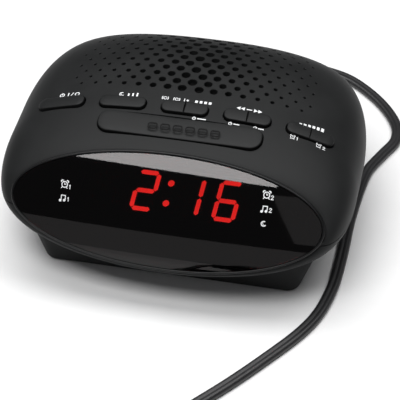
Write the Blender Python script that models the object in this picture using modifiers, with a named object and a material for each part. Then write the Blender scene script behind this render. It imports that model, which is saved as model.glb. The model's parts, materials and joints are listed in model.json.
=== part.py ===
"""Clock radio with an oval window, its works, its mains lead and plug.

Metres, +Z up, front towards -Y. The origin is on the standing surface, under the
middle of the case. Lengths below are written in millimetres and scaled by MM.
"""
import math

import bmesh
import bpy
from mathutils import Matrix, Vector
from mathutils.bvhtree import BVHTree

MM = 0.001
GAP = 0.3 * MM              # clearance between pieces that touch

# ---- case -----------------------------------------------------------------
CASE_WIDTH = 132 * MM
CASE_DEPTH = 108 * MM
TOP_Z = 58.7 * MM           # highest point of the top cover
SEAM_Z = 31.4 * MM          # where the top cover meets the bottom case
BELLY_Z = 12.5 * MM         # underside of the case, above the foot
WALL = 2.2 * MM
SEAM_GAP = 0.3 * MM

RIM_HALF_WIDTH = 57.6 * MM  # the oval front rim, in its own tilted plane
RIM_HALF_HEIGHT = 21.4 * MM
RIM_TILT = math.radians(35.7)
RIM_Z = 35.4 * MM           # height of the oval's centre
RIM_LAND = 2.6 * MM         # width of the flat rim that the bezel seats on

FLARE_RUN = 24 * MM         # how far back the case takes to reach its full width
CREST_RUN = 58 * MM         # how far back it takes to reach its full height
BELLY_RUN = 22 * MM         # how far back it takes to reach its full depth
TILT_RUN = 55 * MM          # how far back the sections take to stand upright
CORNER_RUN = 52 * MM        # plan length of the rounded rear corners
REAR_DROP_RUN = 40 * MM     # length over which the crest falls to the back
REAR_RISE_RUN = 30 * MM     # length over which the belly rises to the back
BACK_HALF_WIDTH = 34 * MM
BACK_TOP_Z = 27 * MM
BACK_LOW_Z = 14 * MM
BACK_CUT = 0.985            # where the closing curves are cut off by the flat back
SQUARENESS = 2.5            # power of the upright sections' outline; 2 is an ellipse

# ---- foot -----------------------------------------------------------------
FOOT_FRONT_Y = -37.2 * MM
FOOT_BACK_Y = 38 * MM
FOOT_HALF_WIDTH = 48.5 * MM  # at the bottom
FOOT_FLARE = 8.0 * MM          # how much wider each side is where it joins the belly
FOOT_RADIUS = 5 * MM
FOOT_TOP_Z = 24 * MM         # it runs up inside the belly to here
PAD_RADIUS = 4.5 * MM
PAD_HEIGHT = 1.6 * MM
PAD_PROUD = 0.8 * MM         # how far the pads hold the foot off the surface
PAD_INSET = 6 * MM           # from the foot's edges to a pad's centre

# ---- front ----------------------------------------------------------------
BEZEL_PROUD = 2.1 * MM
BEZEL_LAND = 1.0 * MM
BEZEL_LEDGE = 0.6 * MM       # thickness of the ledge under the window's edge
BEZEL_REACH = 2.4 * MM       # how far in from the oval's edge the ledge reaches
WINDOW_THICK = 1.0 * MM
WINDOW_DOME = 3.2 * MM
DISPLAY_WIDTH = 58 * MM
DISPLAY_HEIGHT = 17 * MM
DISPLAY_DEPTH = 4.5 * MM
DISPLAY_BACK = 2.5 * MM      # from the rim's plane to the display's face
DISPLAY_RAISE = 6.3 * MM     # from the oval's centre up to the display's middle
DISPLAY_MARGIN = 1.5 * MM    # how far its board reaches past it on every side
BOARD_THICK = 1.6 * MM

# ---- keys on the top ------------------------------------------------------
KEY_LENGTH = 17.2 * MM
KEY_WIDTH = 5.6 * MM
KEY_RADIUS = 2.4 * MM        # of the corners, seen from above
KEY_CHAMFER = 0.6 * MM
KEY_PITCH = 23.2 * MM
KEY_Y = -7.1 * MM
KEY_PROUD = 1.3 * MM
KEY_FLANGE_DROP = 0.8 * MM   # from the cover's inner face down to a key's flange
KEY_FLANGE = 1.0 * MM        # thickness of the flange
KEY_LIP = 0.6 * MM           # how far the flange spreads along each side
KEY_TRAVEL = 0.6 * MM
STEM_RADIUS = 1.5 * MM
ROCKER_STEM_OFFSET = 5.0 * MM
ROCKER_NOTCH = 0.7 * MM      # depth of the groove across a rocker's middle
ROCKER_NOTCH_HALF = 0.9 * MM
SNOOZE_LENGTH = 60.5 * MM
SNOOZE_WIDTH = 9.6 * MM
SNOOZE_Y = -16.2 * MM
SNOOZE_BOW = 1.8 * MM        # how far its middle is set forward
SNOOZE_RADIUS = 4.0 * MM
SNOOZE_STATIONS = (-24 * MM, -16 * MM, -8 * MM, 0.0, 8 * MM, 16 * MM, 24 * MM)
KEYS = (
    # name, x, number of ends it is pressed at
    ("power_key", -2 * KEY_PITCH, 1),
    ("sleep_key", -KEY_PITCH, 1),
    ("band_rocker", 0.0, 2),
    ("tuning_rocker", KEY_PITCH, 2),
    ("volume_rocker", 2 * KEY_PITCH, 2),
)

# ---- speaker grille -------------------------------------------------------
HOLE_PITCH_X = 5.5 * MM
HOLE_PITCH_Y = 3.6 * MM
HOLE_CENTRE_STEP = 0.45 * MM
GRILLE_FRONT_Y = 3.5 * MM
GRILLE_ROWS = 12
GRILLE_HALF_COLUMNS = 8
HOLE_BIG = 3.5 * MM
HOLE_SMALL = 1.0 * MM
HOLE_FALLOFF = 1.4           # how quickly the holes shrink away from the middle
HOLE_SIDES = 6

# ---- inside ---------------------------------------------------------------
KEY_BOARD_TOP_Z = 39.6 * MM
KEY_BOARD_LEFT, KEY_BOARD_RIGHT = -50 * MM, 54 * MM
KEY_BOARD_FRONT, KEY_BOARD_REAR = -22 * MM, -2 * MM
SWITCH_SIZE = 6 * MM
SWITCH_HEIGHT = 3.4 * MM
SWITCH_TIP = 0.9 * MM
POST_RADIUS = 2.6 * MM
SCREW_RADIUS = 1.2 * MM
SCREW_HEAD_RADIUS = 2.6 * MM
SCREW_HEAD = 1.5 * MM
KEY_POST_X, KEY_POST_Y = 38 * MM, -17 * MM

SPEAKER_Y = 19.5 * MM
SPEAKER_TOP_Z = 45.5 * MM
SPEAKER_RADIUS = 22 * MM
SPEAKER_DEPTH = 15 * MM
SPEAKER_RIM = 1.5 * MM
MAGNET_RADIUS = 13 * MM
MAGNET_HEIGHT = 7.5 * MM

MAIN_BOARD_Z = 18 * MM
MAIN_BOARD_LEFT, MAIN_BOARD_RIGHT = -38.5 * MM, 24 * MM
MAIN_BOARD_FRONT, MAIN_BOARD_REAR = -18 * MM, 28.5 * MM

CORE_WIDTH, CORE_LENGTH, CORE_HEIGHT = 24 * MM, 12 * MM, 20 * MM
COIL_WIDTH, COIL_LENGTH, COIL_HEIGHT = 15 * MM, 18 * MM, 12 * MM
CORE_X, CORE_Y, CORE_Z = 38 * MM, 18 * MM, 21 * MM

ROD_RADIUS = 4 * MM
ROD_LENGTH = 70 * MM
ROD_Y, ROD_Z = 42.2 * MM, 37.3 * MM
ROD_HOLDER_X = 30 * MM
HOLDER_WALL = 1.5 * MM
AERIAL_COIL_LENGTH = 22 * MM
AERIAL_COIL_WALL = 1.5 * MM

CELL_RADIUS = 5.25 * MM
CELL_LENGTH = 44.5 * MM
BAY_LENGTH = 51 * MM
BAY_FRONT, BAY_REAR = 0 * MM, 24 * MM
BAY_TOP_Z = 14 * MM
BAY_WALL = 1.5 * MM
DOOR_THICK = 1.5 * MM
DOOR_GAP = 0.5 * MM
HINGE_INSET = 1.4 * MM       # from the bay's front wall to the door's hinge

SCREW_SPOTS = ((43 * MM, 3.5 * MM), (30 * MM, 33 * MM))
SCREW_BORE = 1.6 * MM
SCREW_SUNK = 0.5 * MM        # a head's face above the foot's underside
SCREW_TOP_Z = 37 * MM

JACK_X, JACK_Z = 18 * MM, 27 * MM
JACK_BUSH_RADIUS = 3.0 * MM
JACK_BORE_RADIUS = 1.8 * MM

# ---- mains lead -----------------------------------------------------------
LEAD_EXIT_X, LEAD_EXIT_Z = -14 * MM, 20.8 * MM
RELIEF_RADIUS = 4.0 * MM
RELIEF_TIP_RADIUS = 3.0 * MM
RELIEF_LENGTH = 20 * MM
RELIEF_LIP = 0.6 * MM
LEAD_RADIUS = 2.1 * MM
LEAD_STEP = 9 * MM          # spacing of the points along the tube
# Points that the lead passes through after the strain relief, in millimetres. It drops
# to the surface behind the case, bows out past the right side and runs off to the front.
ROUTE_REAR_Y = 54 * MM       # the case's rear that the route below is laid for
LEAD_ROUTE = (
    (-14.0, 77.5, 20.7), (-13.0, 84.0, 17.6), (-9.9, 89.0, 13.8), (-5.2, 92.3, 10.5),
    (0.6, 94.2, 7.6), (7.2, 95.4, 5.2), (14.4, 96.2, 3.4), (22.0, 96.6, 2.3),
    (30.0, 96.4, 2.1), (39.5, 94.4, 2.1), (49.0, 90.0, 2.1), (58.0, 83.2, 2.1),
    (65.6, 73.6, 2.1), (70.6, 62.0, 2.1), (71.6, 50.0, 2.1), (69.0, 39.2, 2.1),
    (65.8, 28.5, 2.1), (64.0, 16.0, 2.1), (63.4, 0.5, 2.1), (63.2, -15.0, 2.1),
    (62.3, -32.0, 2.1), (59.6, -46.5, 2.1), (53.0, -60.8, 2.1), (43.2, -74.9, 2.1),
    (32.6, -87.6, 2.1), (22.2, -100.0, 2.1),
)
COIL_X, COIL_Y = 25 * MM, -145 * MM
COIL_INNER_RADIUS, COIL_OUTER_RADIUS = 18 * MM, 34 * MM
COIL_LOW_Z, COIL_TOP_Z = 1.2 * MM, 11.4 * MM
COIL_MEETS_X, COIL_MEETS_Y = 13.1 * MM, -110.8 * MM   # where the tube ends, at the coil
TIE_WIDTH = 5 * MM
TIE_THICK = 0.8 * MM
PLUG_X, PLUG_Y = 12 * MM, -163.5 * MM   # the neck's end, on the coil's far side
PLUG_THICK = 13.7 * MM
PLUG_LENGTH = 44 * MM
PIN_SPACING = 18.6 * MM
PIN_RADIUS = 2.0 * MM
PIN_LENGTH = 19 * MM

RING_POINTS = 34
RINGS_FRONT = 9
RINGS_REAR = 8


def clean_scene():
    for item in list(bpy.data.objects):
        bpy.data.objects.remove(item, do_unlink=True)


clean_scene()
radio = bpy.data.collections.new("clock_radio")
cutters = bpy.data.collections.new("cutters")
bpy.context.scene.collection.children.link(radio)
bpy.context.scene.collection.children.link(cutters)


# ---- materials -------------------------------------------------------------
def finish(name, colour, roughness, metallic=0.0):
    material = bpy.data.materials.new(name)
    material.use_nodes = True
    shader = material.node_tree.nodes["Principled BSDF"]
    shader.inputs["Base Color"].default_value = (*colour, 1.0)
    shader.inputs["Roughness"].default_value = roughness
    shader.inputs["Metallic"].default_value = metallic
    return material


CASE_BLACK = finish("case_black", (0.028, 0.029, 0.030), 0.5)
KEY_BLACK = finish("key_black", (0.022, 0.022, 0.023), 0.42)
BEZEL_BLACK = finish("bezel_black", (0.018, 0.018, 0.019), 0.35)
WINDOW_BLACK = finish("window_black", (0.008, 0.006, 0.006), 0.06)
LED_RED = finish("led_red", (0.45, 0.02, 0.02), 0.3)
BOARD_GREEN = finish("board_green", (0.02, 0.13, 0.06), 0.45)
SWITCH_GREY = finish("switch_grey", (0.05, 0.05, 0.05), 0.4)
STEEL = finish("steel", (0.55, 0.55, 0.56), 0.35, 1.0)
FERRITE = finish("ferrite", (0.06, 0.06, 0.065), 0.6)
COPPER = finish("copper", (0.62, 0.30, 0.16), 0.35, 1.0)
PAPER = finish("speaker_paper", (0.03, 0.03, 0.03), 0.8)
HOLDER_WHITE = finish("holder_white", (0.75, 0.74, 0.70), 0.5)
CELL_SLEEVE = finish("cell_sleeve", (0.10, 0.16, 0.35), 0.3)
RUBBER = finish("rubber", (0.02, 0.02, 0.02), 0.8)
LEAD_BLACK = finish("lead_black", (0.02, 0.02, 0.02), 0.45)
BRASS = finish("brass", (0.75, 0.60, 0.30), 0.3, 1.0)


# ---- modelling helpers -----------------------------------------------------
def add(name, bm, material, group=None):
    """Makes a mesh object; one with no material is a cutter."""
    bmesh.ops.recalc_face_normals(bm, faces=bm.faces)
    mesh = bpy.data.meshes.new(name)
    bm.to_mesh(mesh)
    bm.free()
    item = bpy.data.objects.new(name, mesh)
    if material is None:
        cutters.objects.link(item)
        item.hide_render = True
        item.display_type = "WIRE"
    else:
        radio.objects.link(item)
        mesh.materials.append(material)
    return item


def set_origin(item, point):
    """Puts an object's origin on its joint and leaves its shape where it is."""
    item.data.transform(Matrix.Translation(-point))
    item.location = point


def lofted(name, rings, material, closed=False):
    """Skins a row of rings; the ends are capped, or joined to each other."""
    bm = bmesh.new()
    loops = [[bm.verts.new(point) for point in points] for points in rings]
    pairs = list(zip(loops, loops[1:]))
    if closed:
        pairs.append((loops[-1], loops[0]))
    else:
        bm.faces.new(loops[0])
        bm.faces.new(loops[-1])
    for near, far in pairs:
        for i in range(len(near)):
            j = (i + 1) % len(near)
            bm.faces.new((near[i], near[j], far[j], far[i]))
    return add(name, bm, material)


def box(name, low, high, material, matrix=None):
    bm = bmesh.new()
    size = [b - a for a, b in zip(low, high)]
    middle = [(a + b) / 2 for a, b in zip(low, high)]
    bmesh.ops.create_cube(bm, size=1.0, matrix=Matrix.Translation(middle) @ Matrix.Diagonal((*size, 1)))
    item = add(name, bm, material)
    if matrix:
        item.matrix_world = matrix
    return item


def rods(name, ends, radius, material, sides=12):
    """Upright cylinders, one for each (x, y, low z, high z)."""
    bm = bmesh.new()
    for x, y, low, high in ends:
        bmesh.ops.create_cone(bm, cap_ends=True, segments=sides, radius1=radius, radius2=radius,
                              depth=high - low, matrix=Matrix.Translation((x, y, (low + high) / 2)))
    return add(name, bm, material)


def turned(name, profile, material, matrix=None, steps=16):
    """Spins a profile of (radius, height), given from its top down its outer side.

    A profile that comes back to its first point makes a hollow ring.
    """
    mesh = bpy.data.meshes.new(name)
    is_ring = profile[0] == profile[-1]
    points = [(radius, 0, height) for radius, height in (profile[:-1] if is_ring else profile)]
    edges = [(i, i + 1) for i in range(len(points) - 1)]
    if is_ring:
        edges.append((len(points) - 1, 0))
    mesh.from_pydata(points, edges, [])
    item = bpy.data.objects.new(name, mesh)
    if material is None:
        cutters.objects.link(item)
        item.hide_render = True
        item.display_type = "WIRE"
    else:
        radio.objects.link(item)
        mesh.materials.append(material)
    screw = item.modifiers.new("turn", "SCREW")
    screw.steps = steps
    screw.render_steps = steps
    screw.use_merge_vertices = True
    screw.merge_threshold = 1e-6
    if matrix:
        item.matrix_world = matrix
    return item


def combine(target, tool, operation="DIFFERENCE"):
    modifier = target.modifiers.new(operation.lower(), "BOOLEAN")
    modifier.operation = operation
    modifier.object = tool


def frame_on(normal, across=Vector((1, 0, 0))):
    """Rotation whose Z is normal and whose X lies nearest to across."""
    up = normal.normalized()
    side = (across - up * across.dot(up)).normalized()
    return Matrix((side, up.cross(side), up)).transposed()


# ---- the case's form -------------------------------------------------------
def ease(part, power):
    """Quarter of a squared-off circle: 0 at 0, 1 at 1, steep first and level last."""
    part = min(max(part, 0.0), 1.0)
    return (1 - (1 - part) ** power) ** (1 / power)


def close(part, power):
    """The same quarter run the other way: 1 at 0, falling steeply at the end."""
    part = min(max(part, 0.0), 1.0)
    return (1 - part ** power) ** (1 / power)


REAR_Y = CASE_DEPTH / 2
RIM_Y = -CASE_DEPTH / 2 + RIM_HALF_HEIGHT * math.sin(RIM_TILT) + BEZEL_PROUD * math.cos(RIM_TILT)
RIM_FORWARD = Vector((0, -math.cos(RIM_TILT), math.sin(RIM_TILT)))
RIM_UP = Vector((0, math.sin(RIM_TILT), math.cos(RIM_TILT)))
RIM_CENTRE = Vector((0, RIM_Y, RIM_Z))
RIM_FRAME = Matrix(((1, 0, 0), RIM_UP, RIM_FORWARD)).transposed()


def section(y, look):
    """Middle, tilt, half width, height up, height down and squareness at y.

    The size is read at look, which differs from y where a wall turns away from the section.
    """
    back = look - RIM_Y
    tilt = RIM_TILT * max(0.0, 1 - (y - RIM_Y) / TILT_RUN) ** 1.2
    middle_z = SEAM_Z + (RIM_Z - SEAM_Z) * max(0.0, 1 - (y - RIM_Y) / CREST_RUN) ** 2
    rim_top = RIM_Z + RIM_HALF_HEIGHT * math.cos(RIM_TILT)
    rim_low = RIM_Z - RIM_HALF_HEIGHT * math.cos(RIM_TILT)
    half_width = RIM_HALF_WIDTH + (CASE_WIDTH / 2 - RIM_HALF_WIDTH) * ease(back / FLARE_RUN, 2.2)
    top = rim_top + (TOP_Z - rim_top) * ease(back / CREST_RUN, 1.5)
    low = rim_low + (BELLY_Z - rim_low) * ease(back / BELLY_RUN, 2.0)
    corner = (look - (REAR_Y - CORNER_RUN)) / CORNER_RUN * BACK_CUT
    drop = (look - (REAR_Y - REAR_DROP_RUN)) / REAR_DROP_RUN * BACK_CUT
    rise = (look - (REAR_Y - REAR_RISE_RUN)) / REAR_RISE_RUN * BACK_CUT
    half_width = BACK_HALF_WIDTH + (half_width - BACK_HALF_WIDTH) * close(corner, 2.2)
    top = BACK_TOP_Z + (top - BACK_TOP_Z) * close(drop, 2.4)
    low = BACK_LOW_Z + (low - BACK_LOW_Z) * close(rise, 2.4)
    middle_z = min(middle_z, (top + low) / 2 + 4 * MM)
    square = 2 + (SQUARENESS - 2) * ease((y - RIM_Y) / FLARE_RUN, 1.5)
    return middle_z, tilt, half_width, (top - middle_z) / math.cos(tilt), \
        (middle_z - low) / math.cos(tilt), square


def oval(half_width, up, down, square=2.0, count=RING_POINTS):
    """Points of a squared-off oval, as (across, along)."""
    points = []
    for step in range(count):
        angle = 2 * math.pi * (step + 0.5) / count
        across = math.copysign(abs(math.cos(angle)) ** (2 / square), math.cos(angle))
        along = math.copysign(abs(math.sin(angle)) ** (2 / square), math.sin(angle))
        points.append((across * half_width, along * (up if along > 0 else down)))
    return points


def case_ring(y, inset=0.0):
    """The case's section whose middle is at y, drawn in by inset on every side."""
    turning = min(max(y / (10 * MM), -1.0), 1.0)
    middle_z, tilt, half_width, up, down, square = section(y, y + inset * turning)
    return [Vector((across, y + along * math.sin(tilt), middle_z + along * math.cos(tilt)))
            for across, along in oval(half_width - inset, up - inset, down - inset, square)]


def case_stations(rear):
    """Middle positions of the rings, closer together where the form turns faster."""
    bend = RIM_Y + (rear - RIM_Y) * 0.55
    front = [RIM_Y + (bend - RIM_Y) * (1 - math.cos(math.pi / 2 * i / RINGS_FRONT))
             for i in range(RINGS_FRONT)]
    return front + [bend + (rear - bend) * math.sin(math.pi / 2 * i / RINGS_REAR)
                    for i in range(RINGS_REAR + 1)]


def rim_oval(inset, height, count=RING_POINTS):
    """An oval parallel to the rim, inset from it and raised height in front of it."""
    return [RIM_CENTRE + Vector((across, 0, 0)) + RIM_UP * along + RIM_FORWARD * height
            for across, along in oval(RIM_HALF_WIDTH - inset, RIM_HALF_HEIGHT - inset,
                                      RIM_HALF_HEIGHT - inset, 2.0, count)]


OUTER_RINGS = [case_ring(y) for y in case_stations(REAR_Y)]
INNER_RINGS = [rim_oval(RIM_LAND, WALL), rim_oval(RIM_LAND, -WALL / 4)]
INNER_RINGS += [case_ring(y, WALL) for y in case_stations(REAR_Y - WALL)[2:]]


def case_surface():
    """The outer form, for finding the height and slope at a place on it."""
    points = [point for points in OUTER_RINGS for point in points]
    count = RING_POINTS
    quads = [(r * count + i, r * count + (i + 1) % count,
              (r + 1) * count + (i + 1) % count, (r + 1) * count + i)
             for r in range(len(OUTER_RINGS) - 1) for i in range(count)]
    return BVHTree.FromPolygons(points, quads)


SURFACE = case_surface()


def on_top(x, y):
    """The point of the top cover's outer face above (x, y), and its outward normal."""
    spot, normal, _, _ = SURFACE.ray_cast(Vector((x, y, 2 * TOP_Z)), Vector((0, 0, -1)))
    return spot, normal if normal.z > 0 else -normal


def smooth_normal(x, y, reach=3 * MM):
    """Normal of the top cover over a patch, free of the facets' steps."""
    slope_x = (on_top(x + reach, y)[0].z - on_top(x - reach, y)[0].z) / (2 * reach)
    slope_y = (on_top(x, y + reach)[0].z - on_top(x, y - reach)[0].z) / (2 * reach)
    return Vector((-slope_x, -slope_y, 1)).normalized()


# ---- shells ----------------------------------------------------------------
def foot_ring(z, inset=0.0, count=4):
    """Rounded rectangle of the foot at height z."""
    rise = (z - PAD_PROUD) / (FOOT_TOP_Z - PAD_PROUD)
    half_width = FOOT_HALF_WIDTH + FOOT_FLARE * rise - inset
    front, back = FOOT_FRONT_Y + inset, FOOT_BACK_Y - inset
    radius = FOOT_RADIUS - inset
    points = []
    for corner, (sx, y) in enumerate(((1, back), (-1, back), (-1, front), (1, front))):
        centre = Vector((sx * (half_width - radius), y + (radius if y == front else -radius), z))
        for step in range(count):
            angle = math.pi / 2 * (corner + step / (count - 1))
            points.append(centre + Vector((math.cos(angle), math.sin(angle), 0)) * radius)
    return points


def bar_outline(length, width, radius, grow=0.0, steps=3):
    """Stations along a round-ended bar, as (x, half width)."""
    half, reach, corner = length / 2 + grow, width / 2 + grow, radius + grow
    ends = []
    for step in range(steps + 1):
        angle = math.pi / 2 * step / steps
        ends.append((half - corner + corner * math.cos(angle), reach - corner + corner * math.sin(angle)))
    return [(-x, w) for x, w in ends] + [(x, w) for x, w in reversed(ends)]


def key_loft(name, x0, y0, length, width, radius, bow, profile, material, grow=0.0, extra=()):
    """A bar that follows the top cover. profile(half width, x) gives its section, as
    (across, height above the cover), and bow is how far its middle is set forward."""
    places = sorted(bar_outline(length, width, radius, grow)
                    + [(x, width / 2 + grow) for x in extra])
    rings = []
    for x, half in places:
        y = y0 - bow * (1 - (2 * x / length) ** 2)
        spot, _ = on_top(x0 + x, y)
        normal = smooth_normal(x0 + x, y)
        frame = frame_on(normal)
        rings.append([spot + frame @ Vector((0, across, height)) for across, height in profile(half, x)])
    return lofted(name, rings, material)


def key_section(rocker):
    low = -WALL - KEY_FLANGE_DROP

    def section_of(half, x):
        top = KEY_PROUD
        if rocker and abs(x) < ROCKER_NOTCH_HALF / 2:
            top -= ROCKER_NOTCH
        side = max(half - KEY_CHAMFER, 0.3 * half)
        lip = half + KEY_LIP
        return ((-lip, low - KEY_FLANGE), (lip, low - KEY_FLANGE), (lip, low), (half, low),
                (half, top - KEY_CHAMFER), (side, top), (-side, top), (-half, top - KEY_CHAMFER),
                (-half, low), (-lip, low))
    return section_of


def slot_section(half, x):
    deep = WALL + 1.5 * MM
    return (-half, -deep), (half, -deep), (half, 3 * MM), (-half, 3 * MM)


def key_slots():
    slots = [key_loft(name + "_slot", x, KEY_Y, KEY_LENGTH, KEY_WIDTH, KEY_RADIUS, 0,
                      slot_section, None, GAP) for name, x, _ in KEYS]
    slots.append(key_loft("snooze_slot", 0, SNOOZE_Y, SNOOZE_LENGTH, SNOOZE_WIDTH, SNOOZE_RADIUS,
                          SNOOZE_BOW, slot_section, None, GAP, SNOOZE_STATIONS))
    return slots


def grille_holes():
    """Tapering round holes in staggered rows, largest in the middle, smallest at the sides."""
    bm = bmesh.new()
    reach = GRILLE_HALF_COLUMNS * HOLE_PITCH_X + HOLE_CENTRE_STEP
    for row in range(GRILLE_ROWS):
        y = GRILLE_FRONT_Y + row * HOLE_PITCH_Y
        columns = [i + 0.5 * ((row + 1) % 2) for i in range(-GRILLE_HALF_COLUMNS, GRILLE_HALF_COLUMNS + 1)]
        for column in columns:
            x = column * HOLE_PITCH_X + math.copysign(HOLE_CENTRE_STEP, column) * (column != 0)
            tail = max(0.0, y - (GRILLE_FRONT_Y + 6 * HOLE_PITCH_Y)) / (6 * HOLE_PITCH_Y)
            if abs(x) > reach * math.sqrt(max(0.0, 1 - 0.75 * tail ** 2)):
                continue
            share = min(abs(x) / reach, 1)
            radius = (HOLE_SMALL + (HOLE_BIG - HOLE_SMALL) * (1 - share) ** HOLE_FALLOFF) / 2
            spot, _ = on_top(x, y)
            matrix = Matrix.Translation(spot) @ frame_on(smooth_normal(x, y)).to_4x4()
            bmesh.ops.create_cone(bm, cap_ends=True, segments=HOLE_SIDES, radius1=radius, radius2=radius,
                                  depth=3 * WALL, matrix=matrix)
    return add("grille_holes", bm, None)


def speaker_post_spots():
    radius = SPEAKER_RADIUS + GAP + POST_RADIUS
    return [(side * radius, SPEAKER_Y) for side in (-1, 1)]


def cover_posts():
    """Posts hanging from the top cover, as (x, y, low z, high z)."""
    ends = [(x, y, SPEAKER_TOP_Z + GAP - SPEAKER_RIM) for x, y in speaker_post_spots()]
    ends += [(side * KEY_POST_X, KEY_POST_Y, KEY_BOARD_TOP_Z + GAP) for side in (-1, 1)]
    ends += [(side * x, y, SEAM_Z + 2 * GAP) for x, y in SCREW_SPOTS for side in (-1, 1)]
    return [(x, y, low, on_top(x, y)[0].z - WALL / 2) for x, y, low in ends]


def build_top_cover():
    cover = lofted("top_cover", OUTER_RINGS, CASE_BLACK)
    combine(cover, lofted("cover_hollow", INNER_RINGS, None))
    big = CASE_WIDTH
    combine(cover, box("below_seam", (-big, -big, -big), (big, big, SEAM_Z + SEAM_GAP / 2), None))
    posts = cover_posts()
    combine(cover, rods("cover_posts", posts, POST_RADIUS, None), "UNION")
    bores = [(x, y, low - MM, high - 2 * MM) for x, y, low, high in posts]
    combine(cover, rods("cover_bores", bores, SCREW_BORE, None, 8))
    for slot in key_slots():
        combine(cover, slot)
    combine(cover, grille_holes())
    return cover


def build_bottom_case():
    case = lofted("bottom_case", OUTER_RINGS, CASE_BLACK)
    levels = (PAD_PROUD, FOOT_TOP_Z)
    combine(case, lofted("foot", [foot_ring(z) for z in levels], None), "UNION")
    combine(case, lofted("case_hollow", INNER_RINGS, None))
    levels = (PAD_PROUD + WALL, FOOT_TOP_Z + MM)
    combine(case, lofted("foot_hollow", [foot_ring(z, WALL) for z in levels], None))
    half = BAY_LENGTH / 2
    combine(case, box("bay_outside", (-half - BAY_WALL, BAY_FRONT - BAY_WALL, PAD_PROUD + 0.1 * MM),
                      (half + BAY_WALL, BAY_REAR + BAY_WALL, BAY_TOP_Z + BAY_WALL), None), "UNION")
    combine(case, box("bay_inside", (-half, BAY_FRONT, -MM), (half, BAY_REAR, BAY_TOP_Z), None))
    big = CASE_WIDTH
    posts = [(side * x, y, PAD_PROUD + 0.1 * MM, SEAM_Z - GAP) for x, y in SCREW_SPOTS for side in (-1, 1)]
    posts += [(x, y, on_belly(x, y), MAIN_BOARD_Z - GAP) for x, y in board_post_spots()]
    posts += [(CORE_X, y, on_belly(CORE_X, y), CORE_Z - GAP) for y in core_post_ys()]
    combine(case, rods("case_posts", posts, 3.0 * MM, None), "UNION")
    combine(case, box("above_seam", (-big, -big, SEAM_Z - SEAM_GAP / 2), (big, big, big), None))
    tubes = [(side * x, y, -MM, SEAM_Z + MM) for x, y in SCREW_SPOTS for side in (-1, 1)]
    combine(case, rods("screw_tubes", tubes, SCREW_BORE, None, 8))
    sinks = [(x, y, -MM, PAD_PROUD + SCREW_SUNK + SCREW_HEAD + GAP) for x, y, _, _ in tubes]
    combine(case, rods("screw_sinks", sinks, SCREW_HEAD_RADIUS + GAP, None))
    bores = [(x, y, MAIN_BOARD_Z - 5 * MM, MAIN_BOARD_Z + MM) for x, y in board_post_spots()]
    combine(case, rods("board_bores", bores, SCREW_BORE, None, 8))
    recess = [(x, y, -MM, PAD_HEIGHT + GAP) for x, y in pad_spots()]
    combine(case, rods("pad_recesses", recess, PAD_RADIUS + GAP, None, 16))
    combine(case, back_hole("lead_hole", LEAD_EXIT_X, LEAD_EXIT_Z, RELIEF_RADIUS + GAP))
    combine(case, back_hole("jack_hole", JACK_X, JACK_Z, JACK_BUSH_RADIUS + GAP))
    return case


def back_hole(name, x, z, radius):
    """Cutter for a round hole through the flat back."""
    matrix = Matrix.Translation((x, REAR_Y, z)) @ Matrix.Rotation(math.radians(90), 4, "X")
    return turned(name, ((0, 4 * WALL), (radius, 4 * WALL), (radius, -2 * MM), (0, -2 * MM)), None, matrix)


def pad_spots():
    x = FOOT_HALF_WIDTH - PAD_INSET
    return [(side * x, y) for y in (FOOT_FRONT_Y + PAD_INSET, FOOT_BACK_Y - PAD_INSET) for side in (-1, 1)]


def board_post_spots():
    return ((MAIN_BOARD_LEFT + 5 * MM, MAIN_BOARD_FRONT + 5 * MM), (MAIN_BOARD_RIGHT - 5 * MM, MAIN_BOARD_FRONT + 5 * MM))


def core_post_ys():
    return CORE_Y - 4 * MM, CORE_Y + 4 * MM


def on_belly(x, y):
    """Height inside the bottom case's wall under (x, y), where a post can start."""
    inside = abs(x) < FOOT_HALF_WIDTH and FOOT_FRONT_Y < y < FOOT_BACK_Y
    return PAD_PROUD + WALL / 2 if inside else SURFACE.ray_cast(Vector((x, y, -MM)), Vector((0, 0, 1)))[0].z + WALL / 2


def build_keys():
    keys = []
    for name, x, ends in KEYS:
        extra = (-ROCKER_NOTCH_HALF, 0.0, ROCKER_NOTCH_HALF) if ends == 2 else ()
        key = key_loft(name, x, KEY_Y, KEY_LENGTH, KEY_WIDTH, KEY_RADIUS, 0,
                       key_section(ends == 2), KEY_BLACK, 0, extra)
        spots = (0.0,) if ends == 1 else (-ROCKER_STEM_OFFSET, ROCKER_STEM_OFFSET)
        keys.append((key, x, KEY_Y, spots))
    snooze = key_loft("snooze_key", 0, SNOOZE_Y, SNOOZE_LENGTH, SNOOZE_WIDTH, SNOOZE_RADIUS,
                      SNOOZE_BOW, key_section(False), KEY_BLACK, 0, SNOOZE_STATIONS)
    keys.append((snooze, 0.0, SNOOZE_Y - SNOOZE_BOW, (0.0,)))
    switch = 0
    for key, x0, y, spots in keys:
        set_origin(key, on_top(x0, y)[0] - smooth_normal(x0, y) * (WALL + KEY_FLANGE_DROP))
        for offset in spots:
            switch += 1
            add_stem(key, x0, offset, y)
            build_switch(f"tact_switch_{switch}", *stem_foot(x0, offset, y))


def stem_foot(x0, offset, y):
    """Where a stem that hangs square to the cover at x0 points on the key board."""
    spot, _ = on_top(x0, y)
    normal = smooth_normal(x0, y)
    start = spot + frame_on(normal) @ Vector((offset, 0, 0))
    drop = (start.z - KEY_BOARD_TOP_Z - SWITCH_HEIGHT - SWITCH_TIP) / normal.z
    foot = start - normal * drop
    return foot.x, foot.y


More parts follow.
